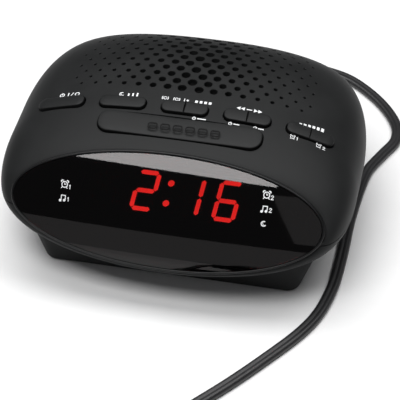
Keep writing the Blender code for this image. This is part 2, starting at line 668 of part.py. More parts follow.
def add_stem(key, x0, offset, y):
    """Joins a stem under a key, down to just over its switch."""
    spot, _ = on_top(x0, y)
    normal = smooth_normal(x0, y)
    frame = frame_on(normal)
    start = spot + frame @ Vector((offset, 0, 0))
    high = -WALL - KEY_FLANGE_DROP - KEY_FLANGE / 2
    clear = KEY_TRAVEL + GAP
    tilt = math.acos(normal.z)
    low = -(start.z - KEY_BOARD_TOP_Z - SWITCH_HEIGHT - SWITCH_TIP - clear) / normal.z
    low += STEM_RADIUS * math.tan(tilt)
    matrix = Matrix.Translation(start) @ frame.to_4x4()
    stem = turned(key.name + "_stem", ((0, high), (STEM_RADIUS, high), (STEM_RADIUS, low), (0, low)),
                  None, matrix, 8)
    combine(key, stem, "UNION")


def build_switch(name, x, y):
    half = SWITCH_SIZE / 2
    base = KEY_BOARD_TOP_Z + GAP
    switch = box(name, (x - half, y - half, base), (x + half, y + half, base + SWITCH_HEIGHT - GAP),
                 SWITCH_GREY)
    tip = rods(name + "_tip", [(x, y, base + 1 * MM, KEY_BOARD_TOP_Z + SWITCH_HEIGHT + SWITCH_TIP)],
               1.6 * MM, None, 8)
    combine(switch, tip, "UNION")


def build_front():
    profile = ((0, GAP), (0, BEZEL_PROUD), (BEZEL_LAND, BEZEL_PROUD), (BEZEL_LAND, GAP + BEZEL_LEDGE),
               (BEZEL_REACH, GAP + BEZEL_LEDGE), (BEZEL_REACH, GAP))
    lofted("front_bezel", [rim_oval(inset, height) for inset, height in profile], BEZEL_BLACK, closed=True)

    inset = BEZEL_LAND + GAP
    seat = 2 * GAP + BEZEL_LEDGE
    spread = (0.25, 0.7, 1.0)
    faces = [(share, seat + WINDOW_DOME * (1 - share ** 2)) for share in spread]
    faces += [(share, height + WINDOW_THICK) for share, height in reversed(faces)]
    rings = []
    for share, height in faces:
        across = RIM_HALF_WIDTH - inset
        along = RIM_HALF_HEIGHT - inset
        rings.append([RIM_CENTRE + Vector((a * share, 0, 0)) + RIM_UP * (b * share) + RIM_FORWARD * height
                      for a, b in oval(across, along, along)])
    lofted("display_window", rings, WINDOW_BLACK)

    frame = Matrix.Translation(RIM_CENTRE + RIM_UP * DISPLAY_RAISE) @ RIM_FRAME.to_4x4()
    half, tall = DISPLAY_WIDTH / 2, DISPLAY_HEIGHT / 2
    back = -DISPLAY_BACK - DISPLAY_DEPTH
    box("led_display", (-half, -tall, back), (half, tall, -DISPLAY_BACK), LED_RED, frame)
    half, tall = half + DISPLAY_MARGIN, tall + DISPLAY_MARGIN
    box("display_board", (-half, -tall, back - GAP - BOARD_THICK), (half, tall, back - GAP),
        BOARD_GREEN, frame)


def build_boards():
    key_board = box("key_board", (KEY_BOARD_LEFT, KEY_BOARD_FRONT, KEY_BOARD_TOP_Z - BOARD_THICK),
                    (KEY_BOARD_RIGHT, KEY_BOARD_REAR, KEY_BOARD_TOP_Z), BOARD_GREEN)
    spots = [(side * KEY_POST_X, KEY_POST_Y) for side in (-1, 1)]
    low = KEY_BOARD_TOP_Z - BOARD_THICK
    combine(key_board, rods("key_board_holes", [(x, y, low - MM, KEY_BOARD_TOP_Z + MM) for x, y in spots],
                            SCREW_BORE, None, 8))
    for number, (x, y) in enumerate(spots, 1):
        screw(f"key_board_screw_{number}", x, y, low - GAP, KEY_BOARD_TOP_Z + 5 * MM)

    top = MAIN_BOARD_Z + BOARD_THICK
    main_board = box("main_board", (MAIN_BOARD_LEFT, MAIN_BOARD_FRONT, MAIN_BOARD_Z),
                     (MAIN_BOARD_RIGHT, MAIN_BOARD_REAR, top), BOARD_GREEN)
    holes = [(x, y, MAIN_BOARD_Z - MM, top + MM) for x, y in board_post_spots()]
    combine(main_board, rods("main_board_holes", holes, SCREW_BORE, None, 8))
    for number, (x, y) in enumerate(board_post_spots(), 1):
        screw(f"main_board_screw_{number}", x, y, top + GAP, MAIN_BOARD_Z - 4 * MM)
    box("tuner_can", (-30 * MM, -8 * MM, top + GAP), (-14 * MM, 8 * MM, top + 6 * MM), STEEL)


def screw(name, x, y, head_z, tip_z, radius=SCREW_RADIUS, head_radius=SCREW_HEAD_RADIUS):
    """A pan-head screw whose head's underside is at head_z and whose tip is at tip_z."""
    way = 1 if tip_z > head_z else -1
    head = head_z - way * SCREW_HEAD
    profile = [(0, tip_z), (radius, tip_z), (radius, head_z), (head_radius, head_z), (head_radius, head), (0, head)]
    if way < 0:
        profile.reverse()
    turned(name, profile, STEEL, Matrix.Translation((x, y, 0)), 10)


def build_speaker():
    top = SPEAKER_TOP_Z
    low = top - SPEAKER_DEPTH
    shift = Matrix.Translation((0, SPEAKER_Y, 0))
    basket = 1.0 * MM
    turned("speaker_frame", ((17 * MM, top), (SPEAKER_RADIUS, top), (SPEAKER_RADIUS, top - SPEAKER_RIM),
                             (18 * MM, top - SPEAKER_RIM), (11 * MM, low), (8 * MM, low),
                             (8 * MM, low + basket), (10.5 * MM, low + basket),
                             (17 * MM, top - SPEAKER_RIM), (17 * MM, top)), STEEL, shift, 20)
    turned("speaker_magnet", ((0, low - GAP), (MAGNET_RADIUS, low - GAP),
                              (MAGNET_RADIUS, low - MAGNET_HEIGHT), (0, low - MAGNET_HEIGHT)),
           FERRITE, shift, 20)
    turned("speaker_cone", ((0, low + 6 * MM), (5 * MM, low + 5 * MM), (16.5 * MM, top - 0.5 * MM),
                            (16.5 * MM, top - 1.2 * MM), (5.5 * MM, low + 3.5 * MM),
                            (5.5 * MM, low + 1 * MM), (0, low + 1 * MM)), PAPER, shift, 20)
    for number, (x, y) in enumerate(speaker_post_spots(), 1):
        screw(f"speaker_screw_{number}", x, y, top - SPEAKER_RIM - GAP, top + 3 * MM)


def build_transformer():
    core = box("transformer_core", (CORE_X - CORE_WIDTH / 2, CORE_Y - CORE_LENGTH / 2, CORE_Z),
               (CORE_X + CORE_WIDTH / 2, CORE_Y + CORE_LENGTH / 2, CORE_Z + CORE_HEIGHT), FERRITE)
    half_x, half_y, half_z = COIL_WIDTH / 2, COIL_LENGTH / 2, COIL_HEIGHT / 2
    middle_z = CORE_Z + CORE_HEIGHT / 2
    combine(core, box("coil_windows", (CORE_X - half_x - GAP, CORE_Y - 2 * half_y, middle_z - half_z - GAP),
                      (CORE_X + half_x + GAP, CORE_Y + 2 * half_y, middle_z + half_z + GAP), None))
    box("transformer_coil", (CORE_X - half_x, CORE_Y - half_y, middle_z - half_z),
        (CORE_X + half_x, CORE_Y + half_y, middle_z + half_z), COPPER)


def build_aerial():
    along_x = Matrix.Translation((0, ROD_Y, ROD_Z)) @ Matrix.Rotation(math.radians(90), 4, "Y")
    half = ROD_LENGTH / 2
    turned("ferrite_rod", ((0, half), (ROD_RADIUS, half), (ROD_RADIUS, -half), (0, -half)), FERRITE, along_x, 12)
    inner, outer = ROD_RADIUS + GAP, ROD_RADIUS + GAP + AERIAL_COIL_WALL
    half = AERIAL_COIL_LENGTH / 2
    turned("aerial_coil", ((inner, half), (outer, half), (outer, -half), (inner, -half), (inner, half)),
           COPPER, along_x, 12)
    reach = inner + HOLDER_WALL
    for number, side in enumerate((-1, 1), 1):
        x = side * ROD_HOLDER_X
        floor = SURFACE.ray_cast(Vector((x, ROD_Y + reach, -MM)), Vector((0, 0, 1)))[0].z
        holder = box(f"rod_holder_{number}", (x - HOLDER_WALL, ROD_Y - reach, floor + 2 * WALL),
                     (x + HOLDER_WALL, ROD_Y + reach, ROD_Z + MM), HOLDER_WHITE)
        turn = Matrix.Translation((x, ROD_Y, ROD_Z)) @ Matrix.Rotation(math.radians(90), 4, "Y")
        deep = 2 * HOLDER_WALL
        combine(holder, turned(f"holder_bore_{number}", ((0, deep), (inner, deep), (inner, -deep), (0, -deep)),
                               None, turn, 12))


def build_battery_bay():
    half = BAY_LENGTH / 2
    door = box("battery_door", (-half + DOOR_GAP, BAY_FRONT + DOOR_GAP, PAD_PROUD),
               (half - DOOR_GAP, BAY_REAR - DOOR_GAP, PAD_PROUD + DOOR_THICK), CASE_BLACK)
    set_origin(door, Vector((0, BAY_FRONT + HINGE_INSET, PAD_PROUD + DOOR_THICK / 2)))
    low = PAD_PROUD + DOOR_THICK + GAP
    along_x = Matrix.Rotation(math.radians(90), 4, "Y")
    end, nub = CELL_LENGTH / 2, 1.2 * MM
    for number in (1, 2):
        way = 1 if number == 1 else -1
        y = (BAY_FRONT + BAY_REAR) / 2 + way * (CELL_RADIUS + GAP)
        spin = along_x if way > 0 else along_x @ Matrix.Rotation(math.pi, 4, "X")
        turned(f"backup_cell_{number}", ((0, end), (2 * MM, end), (2 * MM, end - nub),
                                         (CELL_RADIUS, end - nub), (CELL_RADIUS, -end), (0, -end)),
               CELL_SLEEVE, Matrix.Translation((0, y, low + CELL_RADIUS)) @ spin, 14)
        x = way * (CELL_LENGTH / 2 + GAP)
        box(f"battery_contact_{number}", (min(x, x + way * 0.6 * MM), BAY_FRONT + MM, low + 2 * MM),
            (max(x, x + way * 0.6 * MM), BAY_REAR - MM, BAY_TOP_Z - MM), STEEL)


def build_feet_and_screws():
    for number, (x, y) in enumerate(pad_spots(), 1):
        rods(f"rubber_foot_{number}", [(x, y, 0, PAD_HEIGHT)], PAD_RADIUS, RUBBER, 16)
    spots = [(side * x, y) for x, y in SCREW_SPOTS for side in (-1, 1)]
    for number, (x, y) in enumerate(spots, 1):
        screw(f"case_screw_{number}", x, y, PAD_PROUD + SCREW_SUNK + SCREW_HEAD, SCREW_TOP_Z)


def build_jack():
    matrix = Matrix.Translation((JACK_X, REAR_Y, JACK_Z)) @ Matrix.Rotation(math.radians(90), 4, "X")
    inside = WALL + 2 * GAP
    turned("aux_jack", ((JACK_BORE_RADIUS, 13 * MM), (5 * MM, 13 * MM), (5 * MM, inside),
                        (JACK_BUSH_RADIUS, inside), (JACK_BUSH_RADIUS, 0), (JACK_BORE_RADIUS, 0),
                        (JACK_BORE_RADIUS, 13 * MM)), SWITCH_GREY, matrix, 16)


def smooth_path(points, step):
    """Points every step along a smooth curve through the given ones."""
    knots = [points[0] * 2 - points[1], *points, points[-1] * 2 - points[-2]]
    fine = []
    for before, start, end, after in zip(knots, knots[1:], knots[2:], knots[3:]):
        for i in range(20):
            t = i / 20
            fine.append(0.5 * (2 * start + (end - before) * t
                               + (2 * before - 5 * start + 4 * end - after) * t ** 2
                               + (3 * start - before - 3 * end + after) * t ** 3))
    fine.append(points[-1])
    path, walked = [fine[0]], 0.0
    for near, far in zip(fine, fine[1:]):
        walked += (far - near).length
        if walked >= step:
            path.append(far)
            walked = 0.0
    if (path[-1] - points[-1]).length < step / 2:
        path.pop()
    return path + [points[-1]]


def build_lead():
    exit_y = REAR_Y + RELIEF_LENGTH
    outward = Matrix.Translation((LEAD_EXIT_X, REAR_Y, LEAD_EXIT_Z)) @ Matrix.Rotation(math.radians(-90), 4, "X")
    collar = -1.55 * WALL
    turned("strain_relief", ((0, RELIEF_LENGTH), (RELIEF_TIP_RADIUS, RELIEF_LENGTH), (RELIEF_RADIUS, MM),
                             (RELIEF_RADIUS, collar), (RELIEF_RADIUS + RELIEF_LIP, collar),
                             (RELIEF_RADIUS + RELIEF_LIP, collar - 2 * MM), (0, collar - 2 * MM)),
           RUBBER, outward, 14)

    points = []
    for x, y, z in LEAD_ROUTE:
        follow = min(max(y * MM / ROUTE_REAR_Y, 0), 1)    # the route moves back with the case's rear
        points.append(Vector((x * MM, y * MM + (REAR_Y - ROUTE_REAR_Y) * follow, z * MM)))
    points.append(Vector((COIL_MEETS_X, COIL_MEETS_Y, LEAD_RADIUS)))
    path = [Vector((LEAD_EXIT_X, exit_y + GAP, LEAD_EXIT_Z))] + smooth_path(points, LEAD_STEP)
    curve = bpy.data.curves.new("mains_cord", "CURVE")
    curve.dimensions = "3D"
    curve.bevel_depth = LEAD_RADIUS
    curve.bevel_resolution = 2
    curve.use_fill_caps = True
    spline = curve.splines.new("POLY")
    spline.points.add(len(path) - 1)
    for knot, point in zip(spline.points, path):
        knot.co = (*point, 1)
    curve.materials.append(LEAD_BLACK)
    radio.objects.link(bpy.data.objects.new("mains_cord", curve))

    low, high = COIL_LOW_Z, COIL_TOP_Z
    turned("cord_coil", ((COIL_INNER_RADIUS, high), (COIL_OUTER_RADIUS, high), (COIL_OUTER_RADIUS, low),
                         (COIL_INNER_RADIUS, low), (COIL_INNER_RADIUS, high)),
           LEAD_BLACK, Matrix.Translation((COIL_X, COIL_Y, 0)), 32)
    near, far = COIL_X - COIL_OUTER_RADIUS - 2 * GAP, COIL_X - COIL_INNER_RADIUS + 2 * GAP
    half, thick = TIE_WIDTH / 2, TIE_THICK
    tie = box("cord_tie", (near - thick, COIL_Y - half, low - GAP - thick),
              (far + thick, COIL_Y + half, high + GAP + thick), RUBBER)
    combine(tie, box("tie_inside", (near, COIL_Y - 2 * half, low - GAP), (far, COIL_Y + 2 * half, high + GAP), None))
    build_plug(high + GAP)


def build_plug(rest_z):
    """Flat two-pin plug lying on the coil, its pins towards +X."""
    sections = (  # distance from the neck's end, width, thickness, in millimetres
        (0, 6.5, 6.0), (8, 8.0, 7.5), (11, 13.0, 10.5), (20, 23.0, 13.2), (26, 25.5, 13.7), (44, 25.5, 13.7))
    middle_z = rest_z + PLUG_THICK / 2
    rings = []
    for distance, width, thick in sections:
        rings.append([Vector((PLUG_X + distance * MM, PLUG_Y + across, middle_z + along))
                      for across, along in oval(width / 2 * MM, thick / 2 * MM, thick / 2 * MM, 4.0, 20)])
    lofted("mains_plug", rings, LEAD_BLACK)
    face = PLUG_X + PLUG_LENGTH + GAP
    for number, side in enumerate((-1, 1), 1):
        turn = Matrix.Translation((face, PLUG_Y + side * PIN_SPACING / 2, middle_z)) \
            @ Matrix.Rotation(math.radians(90), 4, "Y")
        turned(f"plug_pin_{number}", ((0, PIN_LENGTH), (PIN_RADIUS - MM, PIN_LENGTH), (PIN_RADIUS, PIN_LENGTH - MM),
                                      (PIN_RADIUS, 0), (0, 0)), BRASS, turn, 12)


build_top_cover()
build_bottom_case()
build_front()
build_keys()
build_boards()
build_speaker()
build_transformer()
build_aerial()
build_battery_bay()
build_feet_and_screws()
build_jack()
build_lead()
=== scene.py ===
"""Looks of a clock radio with an oval display window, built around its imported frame.

Metres, +Z up, front towards -Y, in the frame's own coordinates. Lengths are written in
millimetres and scaled by MM.
"""
import json
import math

import bmesh
import bpy
from mathutils import Matrix, Vector
from mathutils.bvhtree import BVHTree
from mathutils.interpolate import poly_3d_calc


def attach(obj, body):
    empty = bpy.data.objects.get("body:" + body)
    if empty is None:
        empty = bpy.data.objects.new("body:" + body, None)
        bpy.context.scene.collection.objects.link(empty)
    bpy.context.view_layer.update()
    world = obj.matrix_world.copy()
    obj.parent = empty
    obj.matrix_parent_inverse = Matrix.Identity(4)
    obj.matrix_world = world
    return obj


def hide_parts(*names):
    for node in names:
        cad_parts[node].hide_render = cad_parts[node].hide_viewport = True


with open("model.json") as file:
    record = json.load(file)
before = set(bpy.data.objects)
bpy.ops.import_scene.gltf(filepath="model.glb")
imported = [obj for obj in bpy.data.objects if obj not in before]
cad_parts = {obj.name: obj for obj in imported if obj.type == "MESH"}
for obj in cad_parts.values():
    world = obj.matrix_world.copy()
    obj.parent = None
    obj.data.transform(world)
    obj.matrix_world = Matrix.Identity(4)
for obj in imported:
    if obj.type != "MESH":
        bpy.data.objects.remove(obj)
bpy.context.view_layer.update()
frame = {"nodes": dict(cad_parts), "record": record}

MM = 0.001
GAP = 0.3 * MM

# ---- sizes that the frame's parts were made with ---------------------------
CASE_WIDTH, CASE_DEPTH = 132 * MM, 108 * MM
TOP_Z, SEAM_Z, BELLY_Z = 58.7 * MM, 31.4 * MM, 12.5 * MM
WALL = 2.2 * MM
SEAM_GAP = 0.35 * MM
RIM_HALF_WIDTH, RIM_HALF_HEIGHT = 57.6 * MM, 21.4 * MM
RIM_TILT = math.radians(35.7)
RIM_Z = 35.4 * MM
RIM_LAND = 2.6 * MM
FLARE_RUN, CREST_RUN, BELLY_RUN, TILT_RUN = 24 * MM, 58 * MM, 22 * MM, 55 * MM
CORNER_RUN, REAR_DROP_RUN, REAR_RISE_RUN = 52 * MM, 40 * MM, 30 * MM
BACK_HALF_WIDTH, BACK_TOP_Z, BACK_LOW_Z = 34 * MM, 27 * MM, 14 * MM
BACK_CUT = 0.985
SQUARENESS = 2.5
FOOT_FRONT_Y, FOOT_BACK_Y = -37.2 * MM, 38 * MM
FOOT_HALF_WIDTH, FOOT_FLARE, FOOT_RADIUS = 48.5 * MM, 8.0 * MM, 5 * MM
FOOT_TOP_Z = 24 * MM
PAD_RADIUS, PAD_HEIGHT, PAD_PROUD, PAD_INSET = 4.5 * MM, 1.6 * MM, 0.8 * MM, 6 * MM
BEZEL_PROUD, BEZEL_LAND, BEZEL_LEDGE, BEZEL_REACH = 2.1 * MM, 1.0 * MM, 0.6 * MM, 2.4 * MM
WINDOW_THICK, WINDOW_DOME = 1.0 * MM, 3.2 * MM
DISPLAY_BACK = 2.5 * MM
KEY_LENGTH, KEY_WIDTH, KEY_RADIUS = 17.2 * MM, 5.6 * MM, 2.4 * MM
KEY_PITCH, KEY_Y, KEY_PROUD = 23.2 * MM, -7.1 * MM, 1.3 * MM
SNOOZE_LENGTH, SNOOZE_WIDTH, SNOOZE_RADIUS = 60.5 * MM, 9.6 * MM, 4.0 * MM
SNOOZE_Y, SNOOZE_BOW = -16.2 * MM, 1.8 * MM
HOLE_PITCH_X, HOLE_PITCH_Y, HOLE_CENTRE_STEP = 5.5 * MM, 3.6 * MM, 0.45 * MM
GRILLE_FRONT_Y, GRILLE_ROWS, GRILLE_HALF_COLUMNS = 3.5 * MM, 12, 8
HOLE_BIG, HOLE_SMALL, HOLE_FALLOFF = 3.5 * MM, 1.0 * MM, 1.4
BAY_LENGTH, BAY_FRONT, BAY_REAR = 51 * MM, 0 * MM, 24 * MM
BAY_TOP_Z, BAY_WALL = 14 * MM, 1.5 * MM
DOOR_THICK, DOOR_GAP = 1.5 * MM, 0.5 * MM
CELL_RADIUS = 5.25 * MM
CELL_LENGTH = 44.5 * MM
SCREW_SPOTS = ((43 * MM, 3.5 * MM), (30 * MM, 33 * MM))
SCREW_SINK_RADIUS, SCREW_SINK_Z, SCREW_SUNK = 2.9 * MM, 3.1 * MM, 0.5 * MM
JACK_X, JACK_Z, JACK_RADIUS = 18 * MM, 27 * MM, 3.0 * MM
LEAD_EXIT_X, LEAD_EXIT_Z = -14 * MM, 20.8 * MM
RELIEF_RADIUS, RELIEF_LENGTH = 4.0 * MM, 20 * MM
REAR_Y = CASE_DEPTH / 2

# ---- sizes of the looks alone ----------------------------------------------
KEY_LOOK_LOW = -WALL - 0.8 * MM  # how far a key reaches down into its slot
KEY_EDGE, KEY_CROWN = 0.55 * MM, 0.12 * MM
CROWN_INSETS = (1.0 * MM, 1.6 * MM, 2.3 * MM)
UPRIGHT_LIMIT = 0.45  # a key's face steeper than this is a side wall
SLOT_FLARE, HOLE_FLARE = 0.2 * MM, 0.14 * MM
GROOVE_DEEP, GROOVE_OVER, GROOVE_REACH = 0.7 * MM, 0.4 * MM, 5 * MM
GRILLE_TAPER_ROWS = 6  # rows at the rear that draw in
FOOT_EDGE, BEZEL_EDGE, DOOR_EDGE = 0.8 * MM, 0.45 * MM, 0.3 * MM
LENS_INSET = BEZEL_LAND + 0.12 * MM
LENS_SEAT = 2 * GAP + BEZEL_LEDGE
FRONT_POINTS = 240  # points round the bezel and the window
CROSS_REACH, CROSS_HALF = 1.5 * MM, 0.38 * MM
INK_STEP = 0.004 * MM  # keeps overlapping strokes from sharing a plane
CLOUD_SCALE, GRAIN_DEPTH = 90.0, 0.05 * MM
SEGMENT_GLOW, WORLD_STRENGTH = 11.5, 0.19

# ---- the lead --------------------------------------------------------------
LEAD_WIDTH, LEAD_THICK = 4.6 * MM, 2.8 * MM
LEAD_ROUTE = (
    (-14.0, 74.3, 20.8), (-14.0, 77.5, 20.7), (-13.0, 84.0, 17.6), (-9.9, 89.0, 13.8),
    (-5.2, 92.6, 10.5), (0.6, 94.9, 7.6), (7.2, 96.4, 5.2), (14.4, 97.4, 3.2),
    (22.0, 98.0, 1.8), (30.0, 97.9, 1.45), (40.0, 96.2, 1.45), (50.3, 92.4, 1.45),
    (60.3, 84.4, 1.45), (68.1, 75.1, 1.45), (73.2, 65.0, 1.45), (73.7, 56.0, 1.45),
    (69.9, 47.2, 1.45), (65.4, 36.5, 1.45), (63.7, 26.5, 1.45), (62.6, 14.3, 1.45),
    (62.0, 2.5, 1.45), (61.9, -11.8, 1.45), (61.5, -24.0, 1.45), (60.6, -33.9, 1.45),
    (57.6, -47.0, 1.45), (51.9, -58.9, 1.45), (42.0, -73.4, 1.45), (32.3, -86.5, 1.45),
    (22.8, -98.2, 1.5), (15.2, -107.6, 1.8), (7.6, -117.0, 2.1),
)
COIL_CENTRE = (25.0, -145.0)
COIL_LAYERS = (  # height of the centreline, radii of the turns, in millimetres
    (2.2, (31.1, 25.8, 20.5)), (5.5, (20.5, 25.8, 31.1)), (8.8, (25.8,)),
)
COIL_START = 141.5  # degrees round the coil where the lead runs into it, tangent to its outer turn
NECK_ROUTE = (  # from the coil's last turn up into the plug's neck
    (-0.8, -145.0, 8.8), (-0.3, -149.6, 9.4), (1.2, -154.6, 11.4), (4.2, -159.6, 14.6), (8.2, -162.6, 17.3),
    (11.0, -163.4, 18.4), (13.5, -163.5, 18.55),
)
PLUG_X, PLUG_Y, PLUG_Z = 12 * MM, -163.5 * MM, 18.55 * MM
PLUG_LENGTH, PIN_SPACING = 44 * MM, 18.6 * MM

# ---- camera ----------------------------------------------------------------
VIEW_AZIMUTH, VIEW_ELEVATION = math.radians(11.305), math.radians(42)
CAMERA_SPOT = Vector((0.10609, -0.50950, 0.47439))
CAMERA_LENS, CAMERA_SENSOR = 162.75, 36  # focal length and film width, in millimetres


def build_camera():
    """The view down on the front, from a little to its right."""
    lens = bpy.data.cameras.new("camera")
    lens.lens, lens.sensor_width = CAMERA_LENS, CAMERA_SENSOR
    lens.clip_start = 0.01
    camera = bpy.data.objects.new("camera", lens)
    right = Vector((math.cos(VIEW_AZIMUTH), math.sin(VIEW_AZIMUTH), 0))
    ahead = Vector((-math.sin(VIEW_AZIMUTH) * math.cos(VIEW_ELEVATION),
                    math.cos(VIEW_AZIMUTH) * math.cos(VIEW_ELEVATION), -math.sin(VIEW_ELEVATION)))
    turn = Matrix((right, right.cross(ahead), -ahead)).transposed().to_4x4()
    camera.matrix_world = Matrix.Translation(CAMERA_SPOT) @ turn
    bpy.context.scene.collection.objects.link(camera)
    bpy.context.scene.camera = camera


# ---- materials -------------------------------------------------------------
def noise(tree, vector, scale, detail=2.0):
    """A noise texture's output, read at this vector."""
    node = tree.nodes.new("ShaderNodeTexNoise")
    node.inputs["Scale"].default_value = scale
    node.inputs["Detail"].default_value = detail
    tree.links.new(vector, node.inputs["Vector"])
    return node.outputs["Fac"]


def tint(tree, amount, colours, stops, socket):
    """Gives socket a colour that runs from the first to the second between the stops."""
    node = tree.nodes.new("ShaderNodeValToRGB")
    for element, colour, stop in zip(node.color_ramp.elements, colours, stops):
        element.position = stop
        element.color = (*colour, 1)
    tree.links.new(amount, node.inputs["Fac"])
    tree.links.new(node.outputs["Color"], socket)


def surface(name, colour, roughness, grain=0.0, grain_size=0.35 * MM, drift=0.15, metallic=0.0,
            specular=0.5, rough_drift=0.06, stretch=(1, 1, 1)):
    """A Principled surface whose colour and gloss drift a little, with a fine moulded grain."""
    material = bpy.data.materials.new(name)
    material.use_nodes = True
    tree = material.node_tree
    shader = tree.nodes["Principled BSDF"]
    shader.inputs["Metallic"].default_value = metallic
    shader.inputs["Specular IOR Level"].default_value = specular
    place = tree.nodes.new("ShaderNodeTexCoord")
    scaled = tree.nodes.new("ShaderNodeMapping")
    scaled.inputs["Scale"].default_value = stretch
    tree.links.new(place.outputs["Object"], scaled.inputs["Vector"])

    cloud = noise(tree, scaled.outputs["Vector"], CLOUD_SCALE, 5.0)
    ends = [[c * (1 + way * drift) for c in colour] for way in (-1, 1)]
    tint(tree, cloud, ends, (0.3, 0.7), shader.inputs["Base Color"])

    gloss = tree.nodes.new("ShaderNodeMapRange")
    gloss.inputs["To Min"].default_value = max(roughness - rough_drift, 0.0)
    gloss.inputs["To Max"].default_value = roughness + rough_drift
    tree.links.new(cloud, gloss.inputs["Value"])
    tree.links.new(gloss.outputs["Result"], shader.inputs["Roughness"])

    if grain:
        bump = tree.nodes.new("ShaderNodeBump")
        bump.inputs["Strength"].default_value = grain
        bump.inputs["Distance"].default_value = GRAIN_DEPTH
        tree.links.new(noise(tree, scaled.outputs["Vector"], 1.0 / grain_size), bump.inputs["Height"])
        tree.links.new(bump.outputs["Normal"], shader.inputs["Normal"])
    return material


def smoked_lens():
    """Clear plastic dyed so dark that only a lit display shows through it."""
    material = surface("smoked_lens", (0.06, 0.012, 0.012), 0.03, drift=0.1, rough_drift=0.02)
    shader = material.node_tree.nodes["Principled BSDF"]
    shader.inputs["Transmission Weight"].default_value = 1.0
    shader.inputs["IOR"].default_value = 1.42
    return material


def lit_segments():
    """Red light, a little uneven, as a diffuser gives."""
    material = surface("lit_segments", (0.5, 0.02, 0.01), 0.4)
    tree = material.node_tree
    shader = tree.nodes["Principled BSDF"]
    place = tree.nodes.new("ShaderNodeTexCoord")
    cloud = noise(tree, place.outputs["Object"], 700.0)
    tint(tree, cloud, ((1.0, 0.08, 0.07), (1.0, 0.14, 0.12)), (0, 1), shader.inputs["Emission Color"])
    shader.inputs["Emission Strength"].default_value = SEGMENT_GLOW
    return material


CASE = surface("case_plastic", (0.0105, 0.0110, 0.0112), 0.55, grain=0.35, specular=0.18)
KEY = surface("key_plastic", (0.0105, 0.0110, 0.0112), 0.52, grain=0.25, specular=0.2)
# Near black: painted shade for the keys' upright walls and for the outlines of the snooze key's bumps.
KEY_PAINTED_SHADE = surface("key_painted_shade", (0.0035, 0.0035, 0.0036), 0.6, grain=0.1, specular=0.12)
BEZEL = surface("bezel_plastic", (0.005, 0.0052, 0.0055), 0.32, grain=0.06, specular=0.25)
LENS = smoked_lens()
LIT = lit_segments()
UNLIT = surface("unlit_segments", (0.020, 0.004, 0.004), 0.5, grain=0.1)
DISPLAY_FACE = surface("display_face", (0.006, 0.004, 0.004), 0.6, grain=0.2)
BOARD = surface("board_mask", (0.012, 0.09, 0.04), 0.35, grain=0.2, grain_size=0.8 * MM)
COMPONENT = surface("component_plastic", (0.02, 0.02, 0.021), 0.4, grain=0.2)
STEEL = surface("plated_steel", (0.40, 0.40, 0.41), 0.36, grain=0.12, metallic=1.0,
                stretch=(1, 6, 1))
FERRITE = surface("ferrite", (0.05, 0.05, 0.055), 0.6, grain=0.5)
COPPER = surface("enamelled_copper", (0.55, 0.22, 0.10), 0.3, grain=0.4, metallic=1.0,
                 stretch=(8, 1, 1))
PAPER = surface("cone_paper", (0.006, 0.006, 0.006), 0.9, grain=0.6, grain_size=0.7 * MM)
NYLON = surface("nylon", (0.62, 0.61, 0.56), 0.5, grain=0.15)
SLEEVE = surface("cell_sleeve", (0.05, 0.10, 0.26), 0.28, grain=0.08)
RUBBER = surface("rubber", (0.014, 0.014, 0.014), 0.75, grain=0.6, specular=0.3)
VINYL = surface("lead_vinyl", (0.012, 0.012, 0.013), 0.42, grain=0.25, grain_size=0.6 * MM)
BRASS = surface("plated_pins", (0.62, 0.60, 0.55), 0.25, grain=0.08, metallic=1.0)
INK = surface("white_ink", (0.78, 0.79, 0.80), 0.55, grain=0.2, drift=0.04)
FLOOR = surface("floor_white", (0.86, 0.86, 0.86), 0.6, drift=0.01, specular=0.2)


# ---- modelling helpers -----------------------------------------------------
def crease(bm, degrees):
    """Smooth faces, with the edges that turn by more than this left sharp."""
    for face in bm.faces:
        face.smooth = True
    for edge in bm.edges:
        turn = edge.calc_face_angle(0) if len(edge.link_faces) == 2 else 0
        edge.smooth = turn < math.radians(degrees)


def add(name, bm, look=None, degrees=40):
    """Makes a piece from bmesh data; one with no look is a cutter."""
    bmesh.ops.recalc_face_normals(bm, faces=bm.faces)
    crease(bm, degrees)
    mesh = bpy.data.meshes.new(name)
    bm.to_mesh(mesh)
    bm.free()
    item = bpy.data.objects.new(name, mesh)
    bpy.context.scene.collection.objects.link(item)
    if look:
        mesh.materials.append(look)
    return item


def skin(bm, rings, closed=False):
    """Joins a row of equal rings with quads, and caps or joins its ends."""
    loops = [[bm.verts.new(point) for point in points] for points in rings]
    pairs = list(zip(loops, loops[1:]))
    if closed:
        pairs.append((loops[-1], loops[0]))
    else:
        bm.faces.new(loops[0])
        bm.faces.new(loops[-1])
    for near, far in pairs:
        for i in range(len(near)):
            j = (i + 1) % len(near)
            bm.faces.new((near[i], near[j], far[j], far[i]))


def lofted(name, rings, look=None, closed=False, degrees=40):
    """A shape skinned over rings of equal count."""
    bm = bmesh.new()
    skin(bm, rings, closed)
    return add(name, bm, look, degrees)


def circle(radius, steps, centre=(0, 0)):
    """Points round a circle, as (x, y)."""
    angles = (2 * math.pi * i / steps for i in range(steps))
    return [(centre[0] + radius * math.cos(a), centre[1] + radius * math.sin(a)) for a in angles]


def edge_round(radius, top, steps):
    """(inset, height) pairs up a rounded edge that ends at top."""
    angles = (math.pi / 2 * step / steps for step in range(1, steps + 1))
    return [(radius * (1 - math.cos(a)), top - radius * (1 - math.sin(a))) for a in angles]


def placed(spot, degrees=0.0, axis="X"):
    """Matrix that turns a shape about an axis and sets it at spot."""
    return Matrix.Translation(spot) @ Matrix.Rotation(math.radians(degrees), 4, axis)


def ring_at(radius, height, steps):
    return [Vector((*point, height)) for point in circle(radius, steps)]


